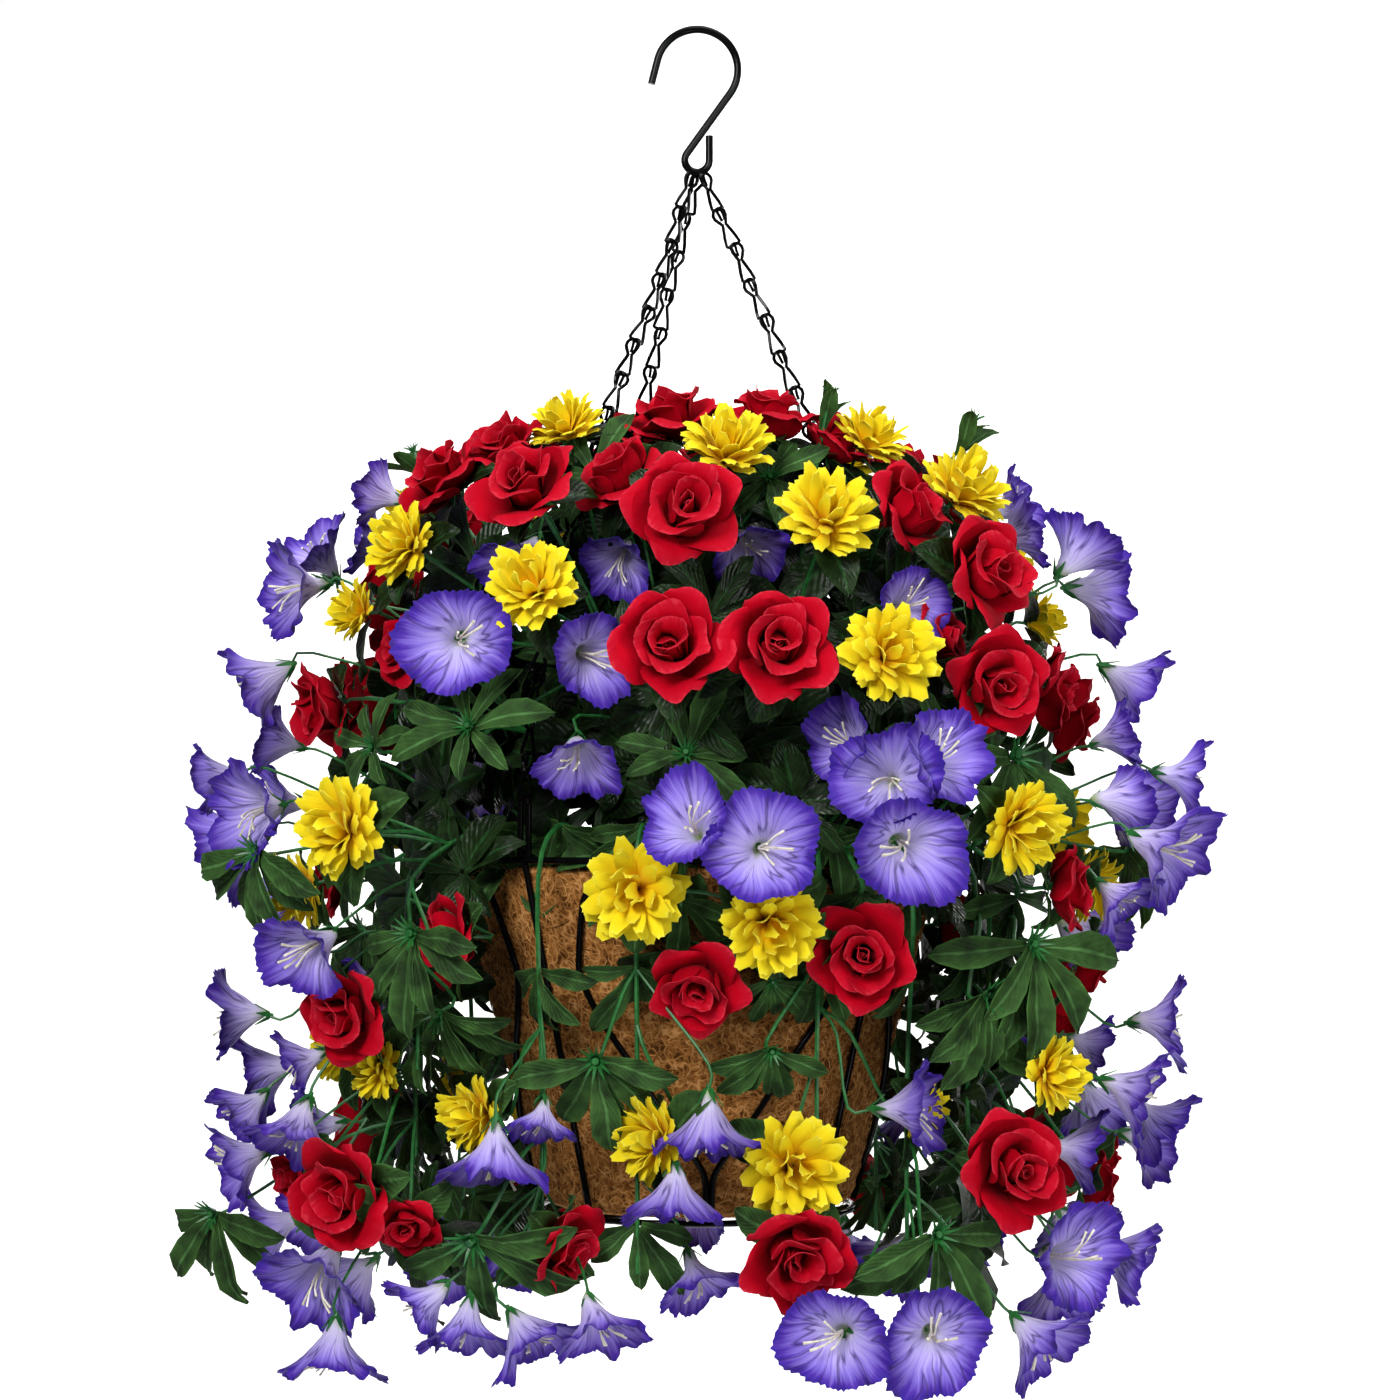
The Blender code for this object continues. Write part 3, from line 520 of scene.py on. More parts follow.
def finish(name, colours):
    """The named finish, made the first time it is asked for."""
    found = bpy.data.materials.get(name)
    if found:
        return found
    if name == "rose_cloth":
        red = tuple(colours.rose)
        # darker towards each petal's foot, deep in the cup: painted shade. Paler at the lip: partly dye,
        # partly painted highlight
        return petal_cloth(name, (
            (0.0, shade(red, 0.30)), (0.40, shade(red, 0.75)), (0.80, red),
            (0.96, "#B01026"), (1.0, "#BC2636"),
        ), 0.18, 9.0, 0.01)
    if name == "mum_cloth":
        yellow = tuple(colours.mum)
        # warmer and brighter towards each petal's foot: the warmth is dye, the brightness is painted light
        # against the shade deep among the petals
        return petal_cloth(name, (
            (0.0, "#F6C20E"), (0.28, "#F2C812"), (0.52, yellow), (0.88, "#E2D024"), (1.0, "#E4D640"),
        ), 0.18, 5.0, 0.03)
    if name == "glory_face":
        rim = tuple(colours.glory)
        return glory_cloth(name, (
            (0.26, "#3E4526"), (0.42, "#686E50"), (0.52, "#9A97A2"), (0.60, "#C4BCE0"), (0.70, "#A595DC"),
            (0.82, "#806ACA"), (0.92, rim), (1.0, "#351B8C"),
        ), colours, 0.95)
    if name == "glory_back":
        rim = tuple(colours.glory)
        return glory_cloth(name, (
            (0.05, "#9CAE78"), (0.22, "#CCC6E4"), (0.48, "#B4A6E4"), (0.72, "#8672D0"),
            (0.90, rim), (1.0, "#351B8C"),
        ), colours, 0.75)
    if name == "leaf_face":
        return leaf_cloth(name, tuple(colours.leaf), 0.32, linear("#3A5C30"), 0.55)
    if name == "leaf_underside":
        return leaf_cloth(name, shade(colours.leaf, 1.1), 0.7, linear("#3A5C30"), 0.15)
    if name == "leaf_waxed":
        # the dome's leaves, those at the basket's sides and the crown's oval leaves are darker: painted
        # shade.
        # Their wax gives small wet highlights
        return leaf_cloth(name, shade(colours.leaf, 0.36), 0.32, linear("#1B3A19"), 0.2)
    if name == "stem_plastic":
        # moulded polyethylene, satin, with faint flow marks 4 mm apart
        greens = (0.3, shade(colours.stem, 0.55)), (0.7, shade(colours.stem, 1.15))
        return grained(name, greens, 4 * MM, (0.32, 0.5), 0.2 * MM)
    if name == "stamen_plastic":
        # cream moulded plastic threads, satin
        return grained(name, ((0.3, "#CFC8A6"), (0.7, "#F2EEDD")), 3 * MM, (0.4, 0.6), 0.1 * MM)
    if name == "powder_coat":
        # gloss black powder coat on steel, with an orange peel 2 mm across
        blacks = (0.3, shade(colours.wire, 0.8)), (0.7, shade(colours.wire, 1.5))
        return grained(name, blacks, 2 * MM, (0.1, 0.2), 0.03 * MM, Specular_IOR_Level=0.1)
    if name == "coir_mat":
        return coir_mat(colours)
    if name == "coir_strand":
        # single coir fibres, each a little darker or lighter
        return grained(name, (
            (0.30, "#5E3A18"), (0.45, tuple(colours.coir)), (0.65, "#CC9A60"),
        ), 6 * MM, (0.7, 0.95), 0.1 * MM, Specular_IOR_Level=0.1)
    if name == "floral_foam":
        # dark green phenolic foam, crumbly, with cells drawn at 2 mm
        return grained(name, ((0.3, "#0E1F0F"), (0.7, "#264A24")), 2 * MM, (0.85, 1.0), 0.8 * MM)
    raise ValueError(f"there is no finish named {name}")


# Modelling


def around(azimuth, reach, height):
    """The point at this azimuth in degrees, and at this reach and height in metres."""
    turn = math.radians(azimuth)
    return Vector((reach * math.sin(turn), -reach * math.cos(turn), height))


def facing(azimuth, elevation):
    """The direction with this azimuth and elevation, in degrees."""
    rise = math.radians(elevation)
    return around(azimuth, math.cos(rise), math.sin(rise))


def ease(share):
    """Runs smoothly from 0 to 1."""
    share = min(max(share, 0.0), 1.0)
    return share * share * (3 - 2 * share)


def smooth_route(points, steps):
    """A smooth line through the points, with this many steps between each two of them."""
    ends = [2 * points[0] - points[1], *points, 2 * points[-1] - points[-2]]
    route = []
    for before, start, end, after in zip(ends, ends[1:], ends[2:], ends[3:]):
        for step in range(steps):
            t = step / steps
            route.append(0.5 * (
                2 * start + (end - before) * t
                + (2 * before - 5 * start + 4 * end - after) * t ** 2
                + (3 * start - before - 3 * end + after) * t ** 3
            ))
    return route + [points[-1]]


def only(*things):
    """Selects just these objects and makes the first one active."""
    bpy.ops.object.select_all(action="DESELECT")
    for thing in things:
        thing.select_set(True)
    bpy.context.view_layer.objects.active = things[0]


def apply_modifier(thing, kind, **settings):
    only(thing)
    modifier = thing.modifiers.new(kind.lower(), kind)
    for name, value in settings.items():
        setattr(modifier, name, value)
    bpy.ops.object.modifier_apply(modifier=modifier.name)


def give(thing, *names):
    """Puts these finishes in the object's material slots."""
    colours = bpy.context.scene.basket_colours
    thing.data.materials.clear()
    for name in names:
        thing.data.materials.append(finish(name, colours))


def flat_sheet(across, along):
    """A flat grid whose X runs across a petal or leaf and whose Y runs from its foot to its tip."""
    bpy.ops.object.select_all(action="DESELECT")
    bpy.ops.mesh.primitive_grid_add(x_subdivisions=across, y_subdivisions=along, size=2)
    made = bpy.context.object
    made.data.uv_layers.active.name = BLADE_MAP
    return made


def mould(sheet, shape):
    """Presses a flat sheet: each point goes to shape(across, along), where across runs from -1 to 1 and
    along from 0 to 1."""
    for corner in sheet.data.vertices:
        corner.co = shape(corner.co.x, (corner.co.y + 1) / 2) * MM
    return sheet


def rose_width(along):
    if along < 0.65:
        return 0.4 + 0.6 * math.sin(math.pi / 2 * along / 0.65)
    return 1 - 0.26 * ((along - 0.65) / 0.35) ** 2


def mum_width(along):
    """A spoon: narrow to half its length, then broad to its blunt tip."""
    return 0.36 + 0.64 * ease((along - 0.1) / 0.55) - 0.34 * ease((along - 0.8) / 0.2)


def slim_leaf_width(along):
    """Widest two thirds of the way to its pointed tip, and joined to its neighbours at its foot."""
    if along < 0.62:
        return 0.3 + 0.7 * ease(along / 0.62)
    return 0.04 + 0.96 * (1 - ((along - 0.62) / 0.38) ** 1.8)


def sepal_width(along):
    return 1.0 - 0.92 * along ** 1.3


def oval_leaf_width(along):
    return 0.05 + 0.95 * math.sin(math.pi * min(along, 0.985) ** 0.95) ** 0.8


def blade_shape(blade, width, fold=0.0, tuck=0.0, ripple=0.0, phase=0.0, teeth=None):
    """The pressed shape of a petal or leaf that stands out from the Z axis along +X."""
    steps = 14

    def slope_at(along):
        if along < 0.66:
            return math.radians(blade.foot + (blade.wall - blade.foot) * ease(along / 0.42))
        return math.radians(blade.wall + (blade.lip - blade.wall) * ease((along - 0.66) / 0.34))

    def shape(across, along):
        tip = along * (1 - blade.corner * abs(across) ** 2.2)
        if teeth and along > 0.99:
            tip *= teeth[round((across + 1) / 2 * (len(teeth) - 1))]
        reach, rise = blade.reach, blade.height
        for step in range(steps):
            slope = slope_at((step + 0.5) / steps * tip)
            reach += math.cos(slope) * blade.length * tip / steps
            rise += math.sin(slope) * blade.length * tip / steps
        slope = slope_at(tip)
        sideways = across * blade.half_width * width(along)
        back = (
            blade.roll * abs(across) ** 3 * along + tuck * across
            + ripple * math.sin(4.2 * across + phase) * along ** 2
            - blade.curl * (1 - math.cos(sideways / blade.curl)) - fold * abs(sideways)
        )
        return Vector((
            reach + math.sin(slope) * back, blade.curl * math.sin(sideways / blade.curl),
            rise - math.cos(slope) * back,
        ))

    return shape


def copy_of(thing, matrix):
    """A copy with its own mesh, moved by the matrix."""
    mesh = thing.data.copy()
    mesh.transform(matrix)
    made = bpy.data.objects.new(thing.name, mesh)
    bpy.context.scene.collection.objects.link(made)
    return made


def whorl(petal, count, chance, start, tilt=5.0, stretch=0.07, slant=0.0):
    """Stands copies of one petal round the Z axis, each a little differently, and removes the first.
    The whole whorl leans to one side by the slant."""
    made = []
    whole = Matrix.Rotation(math.radians(slant), 4, (math.cos(start), math.sin(start), 0))
    for number in range(count):
        turn = math.radians(start + 360 * number / count + chance.uniform(-9, 9))
        lean = math.radians(chance.uniform(-tilt, tilt))
        scale = 1 + chance.uniform(-stretch, stretch)
        posed = whole @ Matrix.Rotation(turn, 4, "Z") @ Matrix.Rotation(lean, 4, "Y")
        made.append(copy_of(petal, posed @ Matrix.Scale(scale, 4)))
    bpy.data.objects.remove(petal)
    return made


def gather(name, things):
    """Joins the objects into one piece of this name."""
    only(*things)
    if len(things) > 1:
        bpy.ops.object.join()
    made = bpy.context.view_layer.objects.active
    made.name = name
    made.data.name = name
    return made


def crumple(mesh, strength, grain, offset):
    """Pushes the points about smoothly, so that no two copies are quite alike."""
    for corner in mesh.vertices:
        corner.co += strength * noise.noise_vector(corner.co / grain + offset)


def thicken(thing, thickness, backing=0):
    apply_modifier(thing, "SOLIDIFY", thickness=thickness, offset=0.0, material_offset=backing)
    only(thing)
    bpy.ops.object.shade_smooth_by_angle(angle=SMOOTH_ANGLE)


def even(points, width=1.0, closed=False):
    """A route for wires() that is equally thick all along."""
    return points, [width] * len(points), closed


def wires(name, routes, depth, sides):
    """Round wires through the routes, as one mesh. A route is its points, a width at each, and whether it
    is closed."""
    bpy.ops.object.select_all(action="DESELECT")
    bpy.ops.curve.primitive_bezier_curve_add()
    made = bpy.context.object
    made.name = name
    curve = made.data
    curve.splines.clear()
    curve.dimensions = "3D"
    curve.bevel_depth = depth
    curve.bevel_resolution = sides
    curve.use_fill_caps = True
    for points, widths, closed in routes:
        spline = curve.splines.new("POLY")
        spline.points.add(len(points) - 1)
        for corner, place, width in zip(spline.points, points, widths):
            corner.co = (*place, 1)
            corner.radius = width
        spline.use_cyclic_u = closed
    bpy.ops.object.convert(target="MESH")
    made = bpy.context.object
    made.data.name = name
    bpy.ops.object.mode_set(mode="EDIT")
    bpy.ops.mesh.select_all(action="SELECT")
    bpy.ops.mesh.remove_doubles(threshold=0.001 * MM)
    bpy.ops.object.mode_set(mode="OBJECT")
    bpy.ops.object.shade_smooth_by_angle(angle=SMOOTH_ANGLE)
    return made


def ride(piece, slot, *nodes):
    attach(piece, "root")
    if nodes:
        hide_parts(*nodes)
    return piece


# Flowers and leaves, each modelled once


def rose_heart(across, along):
    """The rolled bud in the middle: one petal wound one and a half times."""
    out = (across + 1) / 2
    turn = 1.6 * math.tau * out
    reach = (0.5 + 4.3 * out) * (1 - 0.45 * along ** 2)
    return Vector((reach * math.cos(turn) + 1.2, reach * math.sin(turn), -8 + (16.0 - 3.0 * out) * along))


def make_rose(number, size):
    chance = random.Random(100 + number)
    parts = [mould(flat_sheet(18, 4), rose_heart)]
    start = 0
    for blade in ROSE_WHORLS:
        tuck = 0.14 * blade.half_width
        shape = blade_shape(blade, rose_width, tuck=tuck, ripple=1.1, phase=chance.uniform(0, 6))
        start += 52 + chance.uniform(-20, 20)
        slant = chance.uniform(3, 13)
        across = 8 if blade.half_width > 16 else 6
        parts += whorl(mould(flat_sheet(across, 6), shape), blade.count, chance, start, 7.0, 0.09, slant)
    rose = gather(f"rose_pattern_{number}", parts)
    crumple(rose.data, 2.6 * MM, 15 * MM, Vector((number * 5, 1, 2)))
    thicken(rose, size)
    give(rose, "rose_cloth")
    return rose


def make_mum(number, size):
    """A dome of broad spoon-shaped petals, set round the stem by the golden angle, whose rounded ends
    lie over one another like scales: the inmost close over the middle and the outer ones flare."""
    chance = random.Random(200 + number)
    foot = Vector((2.0, -12.0))
    parts = []
    for petal in range(MUM_PETALS):
        lean = math.radians(MUM_SPREAD) * ((petal + 0.5) / MUM_PETALS) ** 0.72 + chance.uniform(-0.1, 0.1)
        span = Vector((MUM_DOME[0] * math.sin(lean), MUM_DOME[1] * math.cos(lean))) - foot
        slope = math.degrees(math.atan2(span.y, span.x))
        flare = -42 + 86 * ease(lean / 1.2)
        length = 1.07 * span.length * chance.uniform(0.88, 1.09)
        blade = Blade(
            1, foot.x * math.sin(lean), foot.y, length, chance.uniform(5.4, 6.7) - 1.6 * math.cos(lean) ** 2,
            slope + 0.5 * flare, slope + 0.1 * flare, slope - flare, -9.0, 0.0, 0.12,
        )
        shape = blade_shape(blade, mum_width, teeth=MUM_TEETH)
        sheet = mould(flat_sheet(4, 4), lambda across, along: shape(across, 1 - (1 - along) ** 1.5))
        turn = math.radians(petal * GOLDEN_ANGLE + chance.uniform(-14, 14))
        sheet.data.transform(Matrix.Rotation(turn, 4, "Z"))
        parts.append(sheet)
    mum = gather(f"mum_pattern_{number}", parts)
    crumple(mum.data, 1.3 * MM, 12 * MM, Vector((number * 5, 3, 2)))
    thicken(mum, size)
    give(mum, "mum_cloth")
    return mum


def make_glory(number, size):
    """A trumpet with a toothed and ruffled rim, and five stamens."""
    chance = random.Random(300 + number)
    star, warp, frill = [chance.uniform(0, 6) for _ in range(3)]
    squash = 0.03 + 0.035 * number
    last = len(GLORY_OUTLINE) - 1

    def shape(across, along):
        reach, rise = GLORY_OUTLINE[round(along * last)]
        turn = math.pi * across
        flare = ease((along - 0.35) / 0.65)
        rise += flare * (1.6 * math.cos(5 * turn + star) + 2.2 * math.cos(2 * turn + warp))
        frilled = ease((along - 0.55) / 0.45)
        rise += frilled * (2.1 * math.cos(9 * turn + frill) + 1.7 * math.cos(13 * turn + 2 * frill))
        reach *= 1 + flare * (0.05 * math.cos(5 * turn + star) + squash * math.cos(2 * turn + warp))
        return Vector((reach * math.cos(turn), reach * math.sin(turn), rise))

    trumpet = mould(flat_sheet(GLORY_TEETH, last), shape)
    cloth = bmesh.new()
    cloth.from_mesh(trumpet.data)
    bmesh.ops.remove_doubles(cloth, verts=cloth.verts, dist=0.01 * MM)
    rim = [edge for edge in cloth.edges if edge.is_boundary and edge.verts[0].co.z > 0]
    notches = bmesh.ops.subdivide_edges(cloth, edges=rim, cuts=1)["geom_inner"]
    for corner in notches:
        if isinstance(corner, bmesh.types.BMVert):
            corner.co *= 1 + chance.uniform(0.01, 0.07)
    cloth.to_mesh(trumpet.data)
    cloth.free()
    crumple(trumpet.data, 2.6 * MM, 16 * MM, Vector((number * 5, 5, 2)))
    thicken(trumpet, size, 1)
    give(trumpet, "glory_back", "glory_face")

    routes = []
    for stamen in range(5):
        turn = 72 * stamen + chance.uniform(-25, 25)
        spread = chance.uniform(2, 8)
        heights = (-14, -6, 3, 9, 14 + chance.uniform(-3, 2))
        reaches = (0.8, 1.6, 2.6, 2.8 + spread * 0.5, 3 + spread)
        droops = (0, 0.4, 2.0, 5.0, 9.0)  # they hang to one side together
        points = [
            around(turn, reach * MM, height * MM) + Vector((0, -droop * MM, 0))
            for reach, height, droop in zip(reaches, heights, droops)
        ]
        routes.append((points, [1.1, 1.0, 1.0, 1.0, 1.5], False))
    stamens = wires("stamens", routes, 0.6 * MM, 0)
    give(stamens, "stamen_plastic")
    return gather(f"glory_pattern_{number}", [trumpet, stamens])


SLIM_LEAF = Blade(1, 2.0, 0.0, 49.0, 8.5, 34, 12, -28, 24.0, 0.0, 0.0)
OVAL_LEAF = Blade(1, 2.0, 0.0, 38.0, 11.5, 30, 8, -28, 30.0, 0.0, 0.0)
SPRIG_SIZE = 50  # mm: a smaller leaf spray is a sprig of three upright leaves


def make_leaf(name, blade, width, number, thickness, cells=(4, 5), face="leaf_face"):
    chance = random.Random(400 + number)
    shape = blade_shape(
        blade, width,
        fold=chance.uniform(0.1, 0.45), ripple=chance.uniform(0.5, 1.3), phase=chance.uniform(0, 6),
    )
    leaf = mould(flat_sheet(*cells), lambda across, along: shape(across, 1 - (1 - along) ** 1.4))
    crumple(leaf.data, 2.0 * MM, 18 * MM, Vector((number * 3, 9, 4)))
    thicken(leaf, thickness, 1)
    give(leaf, "leaf_underside" if face == "leaf_face" else face, face)
    leaf.name = f"{name}_pattern_{number}"
    return leaf


# What holds each kind of flower on its stem: the sepals, then the reach, height and foot of their cup in mm
CALYXES = {
    "rose": (Blade(5, 1.5, 0.0, 12, 2.6, 10, -18, -40, 8, 0, 0), 4.2, 5.0, -1.0),
    "mum": (Blade(7, 1.5, 1.0, 9, 2.2, 40, 10, -10, 8, 0, 0), 5.0, 4.5, -1.0),
    "glory": (Blade(5, 2.4, -0.5, 12, 2.2, 45, 66, 35, 5, 0, 0), 2.2, 3.5, -3.2),
    "leaves": (Blade(11, 1.4, 0.0, 9, 0.9, 70, 50, 20, 3, 0, 0), 1.7, 4.0, -1.0),
}
CALYX_FITS = 60 * MM  # the flower that a calyx is made for
CALYX_LEAST = 0.7  # of that size, however small the flower


def make_calyx(name, sepal, reach, height, start):
    """Pointed sepals on a little cup, which holds a flower on its stem."""
    chance = random.Random(7)
    sheets = whorl(mould(flat_sheet(2, 2), blade_shape(sepal, sepal_width)), sepal.count, chance, 0, 6.0)
    sepals = gather(name, sheets)
    thicken(sepals, 0.6 * MM)
    bpy.ops.object.select_all(action="DESELECT")
    bpy.ops.mesh.primitive_cone_add(
        vertices=6, radius1=1.3 * MM, radius2=reach * MM, depth=height * MM,
        location=(0, 0, (height / 2 + start) * MM),
    )
    cup = bpy.context.object
    bpy.ops.object.transform_apply(location=True, rotation=False, scale=False)
    apply_modifier(cup, "BEVEL", width=0.4 * MM, segments=1)
    calyx = gather(name, [cup, sepals])
    give(calyx, "stem_plastic")
    return calyx


def stand(pattern, place, direction, roll, size):
    """A copy of a flower or leaf at this place, looking along the direction and rolled about it."""
    turn = direction.to_track_quat("Z", "Y").to_matrix().to_4x4()
    spin = Matrix.Rotation(math.radians(roll), 4, "Z")
    return copy_of(pattern, Matrix.Translation(place) @ turn @ spin @ Matrix.Scale(size, 4))


def drop_patterns(patterns):
    for pattern in patterns:
        bpy.data.objects.remove(pattern)


# Sprays


def back_turn(azimuth):
    """Half a turn, and a little more or less for the sprays at the sides, which fills the basket's sides."""
    if abs(azimuth) < MIDDLE_SPRAYS:
        return 180
    return 180 + math.copysign(BACK_SPREAD, azimuth)


Spray = namedtuple("Spray", "name trailing region turn stem flowers")
Flower = namedtuple("Flower", "kind azimuth reach height face_azimuth face_elevation size")


def all_sprays():
    """Every spray, front and back, with the region of the basket that its stems and leaves belong to."""
    for kind, sprays in (("crown", CROWN_SPRAYS), ("trailing", TRAILING_SPRAYS)):
        for number, (stem, flowers) in enumerate(sprays, 1):
            for side, turn in (("front", 0), ("back", back_turn(stem[0]))):
                hand = "left" if stem[0] < 0 else "right"
                name = f"{kind}_spray_{side}_{number}"
                held = [Flower(*flower) for flower in flowers]
                if side == "back":
                    held = [f for f in held if f.kind != "leaves" or abs(f.azimuth) < SIDE_LEAVES]
                yield Spray(name, kind == "trailing", f"{kind}_{side}_{hand}", turn, stem, held)


def region_at(kind, azimuth):
    """The region round this azimuth. The back's hands are the front's, turned round with its sprays."""
    turn = math.radians(azimuth)
    side = "front" if math.cos(turn) > 0 else "back"
    left = math.sin(turn) < 0 if side == "front" else math.sin(turn) > 0
    return f"{kind}_{side}_{'left' if left else 'right'}"


def stem_route(spray):
    azimuth, reach, height = spray.stem
    azimuth += spray.turn
    if spray.trailing:
        over = [around(azimuth, r * MM, FOAM_TOP + rise * MM) for r, rise in OVER_RIM]
        shoulder = around(azimuth, (reach + 4) * MM, HANG_Z * MM)
        side = around(azimuth, reach * MM, (height + HANG_Z) / 2 * MM)
        return smooth_route([*over, shoulder, side, around(azimuth, reach * MM, height * MM)], 4)
    foot = around(azimuth, 0.45 * reach * MM, FOAM_TOP)
    neck = foot + Vector((0, 0, 10 * MM))
    knee = around(azimuth, 0.60 * reach * MM, 0.4 * FOAM_TOP + 0.6 * height * MM)
    return smooth_route([foot, neck, knee, around(azimuth, reach * MM, height * MM)], 4)


def heading(spray, flower):
    """A flower's place and the way it faces."""
    place = around(flower.azimuth + spray.turn, flower.reach * MM, flower.height * MM)
    return place, facing(flower.face_azimuth + spray.turn, flower.face_elevation)


def twig_route(stem, base, direction):
    """A bowed side stem from a main stem to the back of a flower, which it enters squarely."""
    near = min(range(len(stem)), key=lambda i: (stem[i] - base).length)
    start = stem[max(near - 2, 0)]
    span = (base - start).length
    first = start.lerp(base, 0.35) + Vector((0, 0, 0.06 * span))
    last = base - direction * min(0.35 * span, 14 * MM)
    return smooth_route([start, first, last, base + direction * 1.5 * MM], 3)


def plant_flowers(kind, patterns, nominal, slot, seed):
    """Puts a copy of a pattern at every flower of this kind: one piece for each spray."""
    chance = random.Random(seed)
    for spray in all_sprays():
        copies = []
        for flower in spray.flowers:
            if flower.kind != kind:
                continue
            pattern = patterns[chance.randrange(len(patterns))]
            copy = stand(pattern, *heading(spray, flower), chance.uniform(0, 360), flower.size / nominal)
            crumple(copy.data, 2.3 * MM, 26 * MM, Vector((chance.uniform(0, 90), 0, 0)))
            copies.append(copy)
        if copies:
            ride(gather(f"{spray.name}_{kind}", copies), slot, spray.name)
    drop_patterns(patterns)


# One operator for each piece or group of like pieces


class BASKET_OT_hook(Operator):
    """Bends the S-hook from one smooth round wire"""

    bl_idname = "basket.hook"
    bl_label = "S-hook"

    def execute(self, context):
        top = Vector((0, 0, HOOK_TOP_Z))
        eye = Vector((0, 0, HOOK_EYE_Z))
        lean = math.acos((HOOK_TOP_R + HOOK_EYE_R) / (top - eye).length)  # of the straight between the bends
        crossing = math.degrees(lean) - 90
        points = [Vector((HOOK_TIP[0], 0, HOOK_TIP[1]))]
        for step in range(41):
            angle = math.radians(HOOK_TOP_START + (crossing - HOOK_TOP_START) * step / 40)
            points.append(top + HOOK_TOP_R * Vector((math.cos(angle), 0, math.sin(angle))))
        for step in range(25):
            angle = math.radians(180 + crossing + (180 - crossing) * step / 24)
            points.append(eye + HOOK_EYE_R * Vector((math.cos(angle), 0, math.sin(angle))))
        points.append(Vector((HOOK_EYE_R, 0, HOOK_EYE_END_Z)))
        hook = wires("hook_wire", [even(points)], HOOK_WIRE, 5)
        give(hook, "powder_coat")
        ride(hook, "wire_black", "s_hook")
        return {"FINISHED"}


class BASKET_OT_frame_wires(Operator):
    """Bends the rings, ribs, scrolls and hanger loops from smooth round wire"""

    bl_idname = "basket.frame_wires"
    bl_label = "Frame wires"

    def lay(self, node, routes, radius, closed=False):
        made = wires(node + "_wire", [even(points, closed=closed) for points in routes], radius, 2)
        give(made, "powder_coat")
        ride(made, "wire_black", node)

    def execute(self, context):
        for node, reach, height in (("rim_ring", RIM_R, RIM_Z), ("base_ring", BASE_R, BASE_Z)):
            ring = [around(3 * step, reach, height) for step in range(120)]
            self.lay(node, [ring], RING_SWELL * RING_WIRE, True)
        bars = [
            [around(azimuth + turn, BASE_R - RING_WIRE, BASE_Z) for turn in (0, 180)]
            for azimuth in RIB_AZIMUTHS[:2]
        ]
        self.lay("base_cross", bars, WIRE)

        def on_wall(azimuth, share):
            height = RIM_Z + (BASE_Z - RIM_Z) * share
            return around(azimuth, wall_reach(height), height)

        for number, azimuth in enumerate(RIB_AZIMUTHS, 1):
            self.lay(f"frame_rib_{number}", [[on_wall(azimuth, share) for share in (0.01, 0.5, 0.99)]], WIRE)
        number = 0
        for middle in PANEL_AZIMUTHS:
            for hand in (-1, 1):
                number += 1
                points = [on_wall(middle + hand * turn, share) for share, turn in SCROLL]
                self.lay(f"scroll_wire_{number}", [smooth_route(points, 5)], WIRE)
        for name, azimuth in CHAIN_ENDS.items():
            side = around(azimuth + 90, HANGER_HALF_WIDTH, 0)
            foot = around(azimuth, RIM_R, RIM_Z + RING_WIRE)
            top = around(azimuth, RIM_R, HANGER_TOP)
            bend = [
                top + side * math.cos(angle) + Vector((0, 0, HANGER_HALF_WIDTH * math.sin(angle)))
                for angle in (math.pi * step / 12 for step in range(13))
            ]
            self.lay("hanger_loop_" + name, [[foot + side, *bend, foot - side]], WIRE)
        return {"FINISHED"}


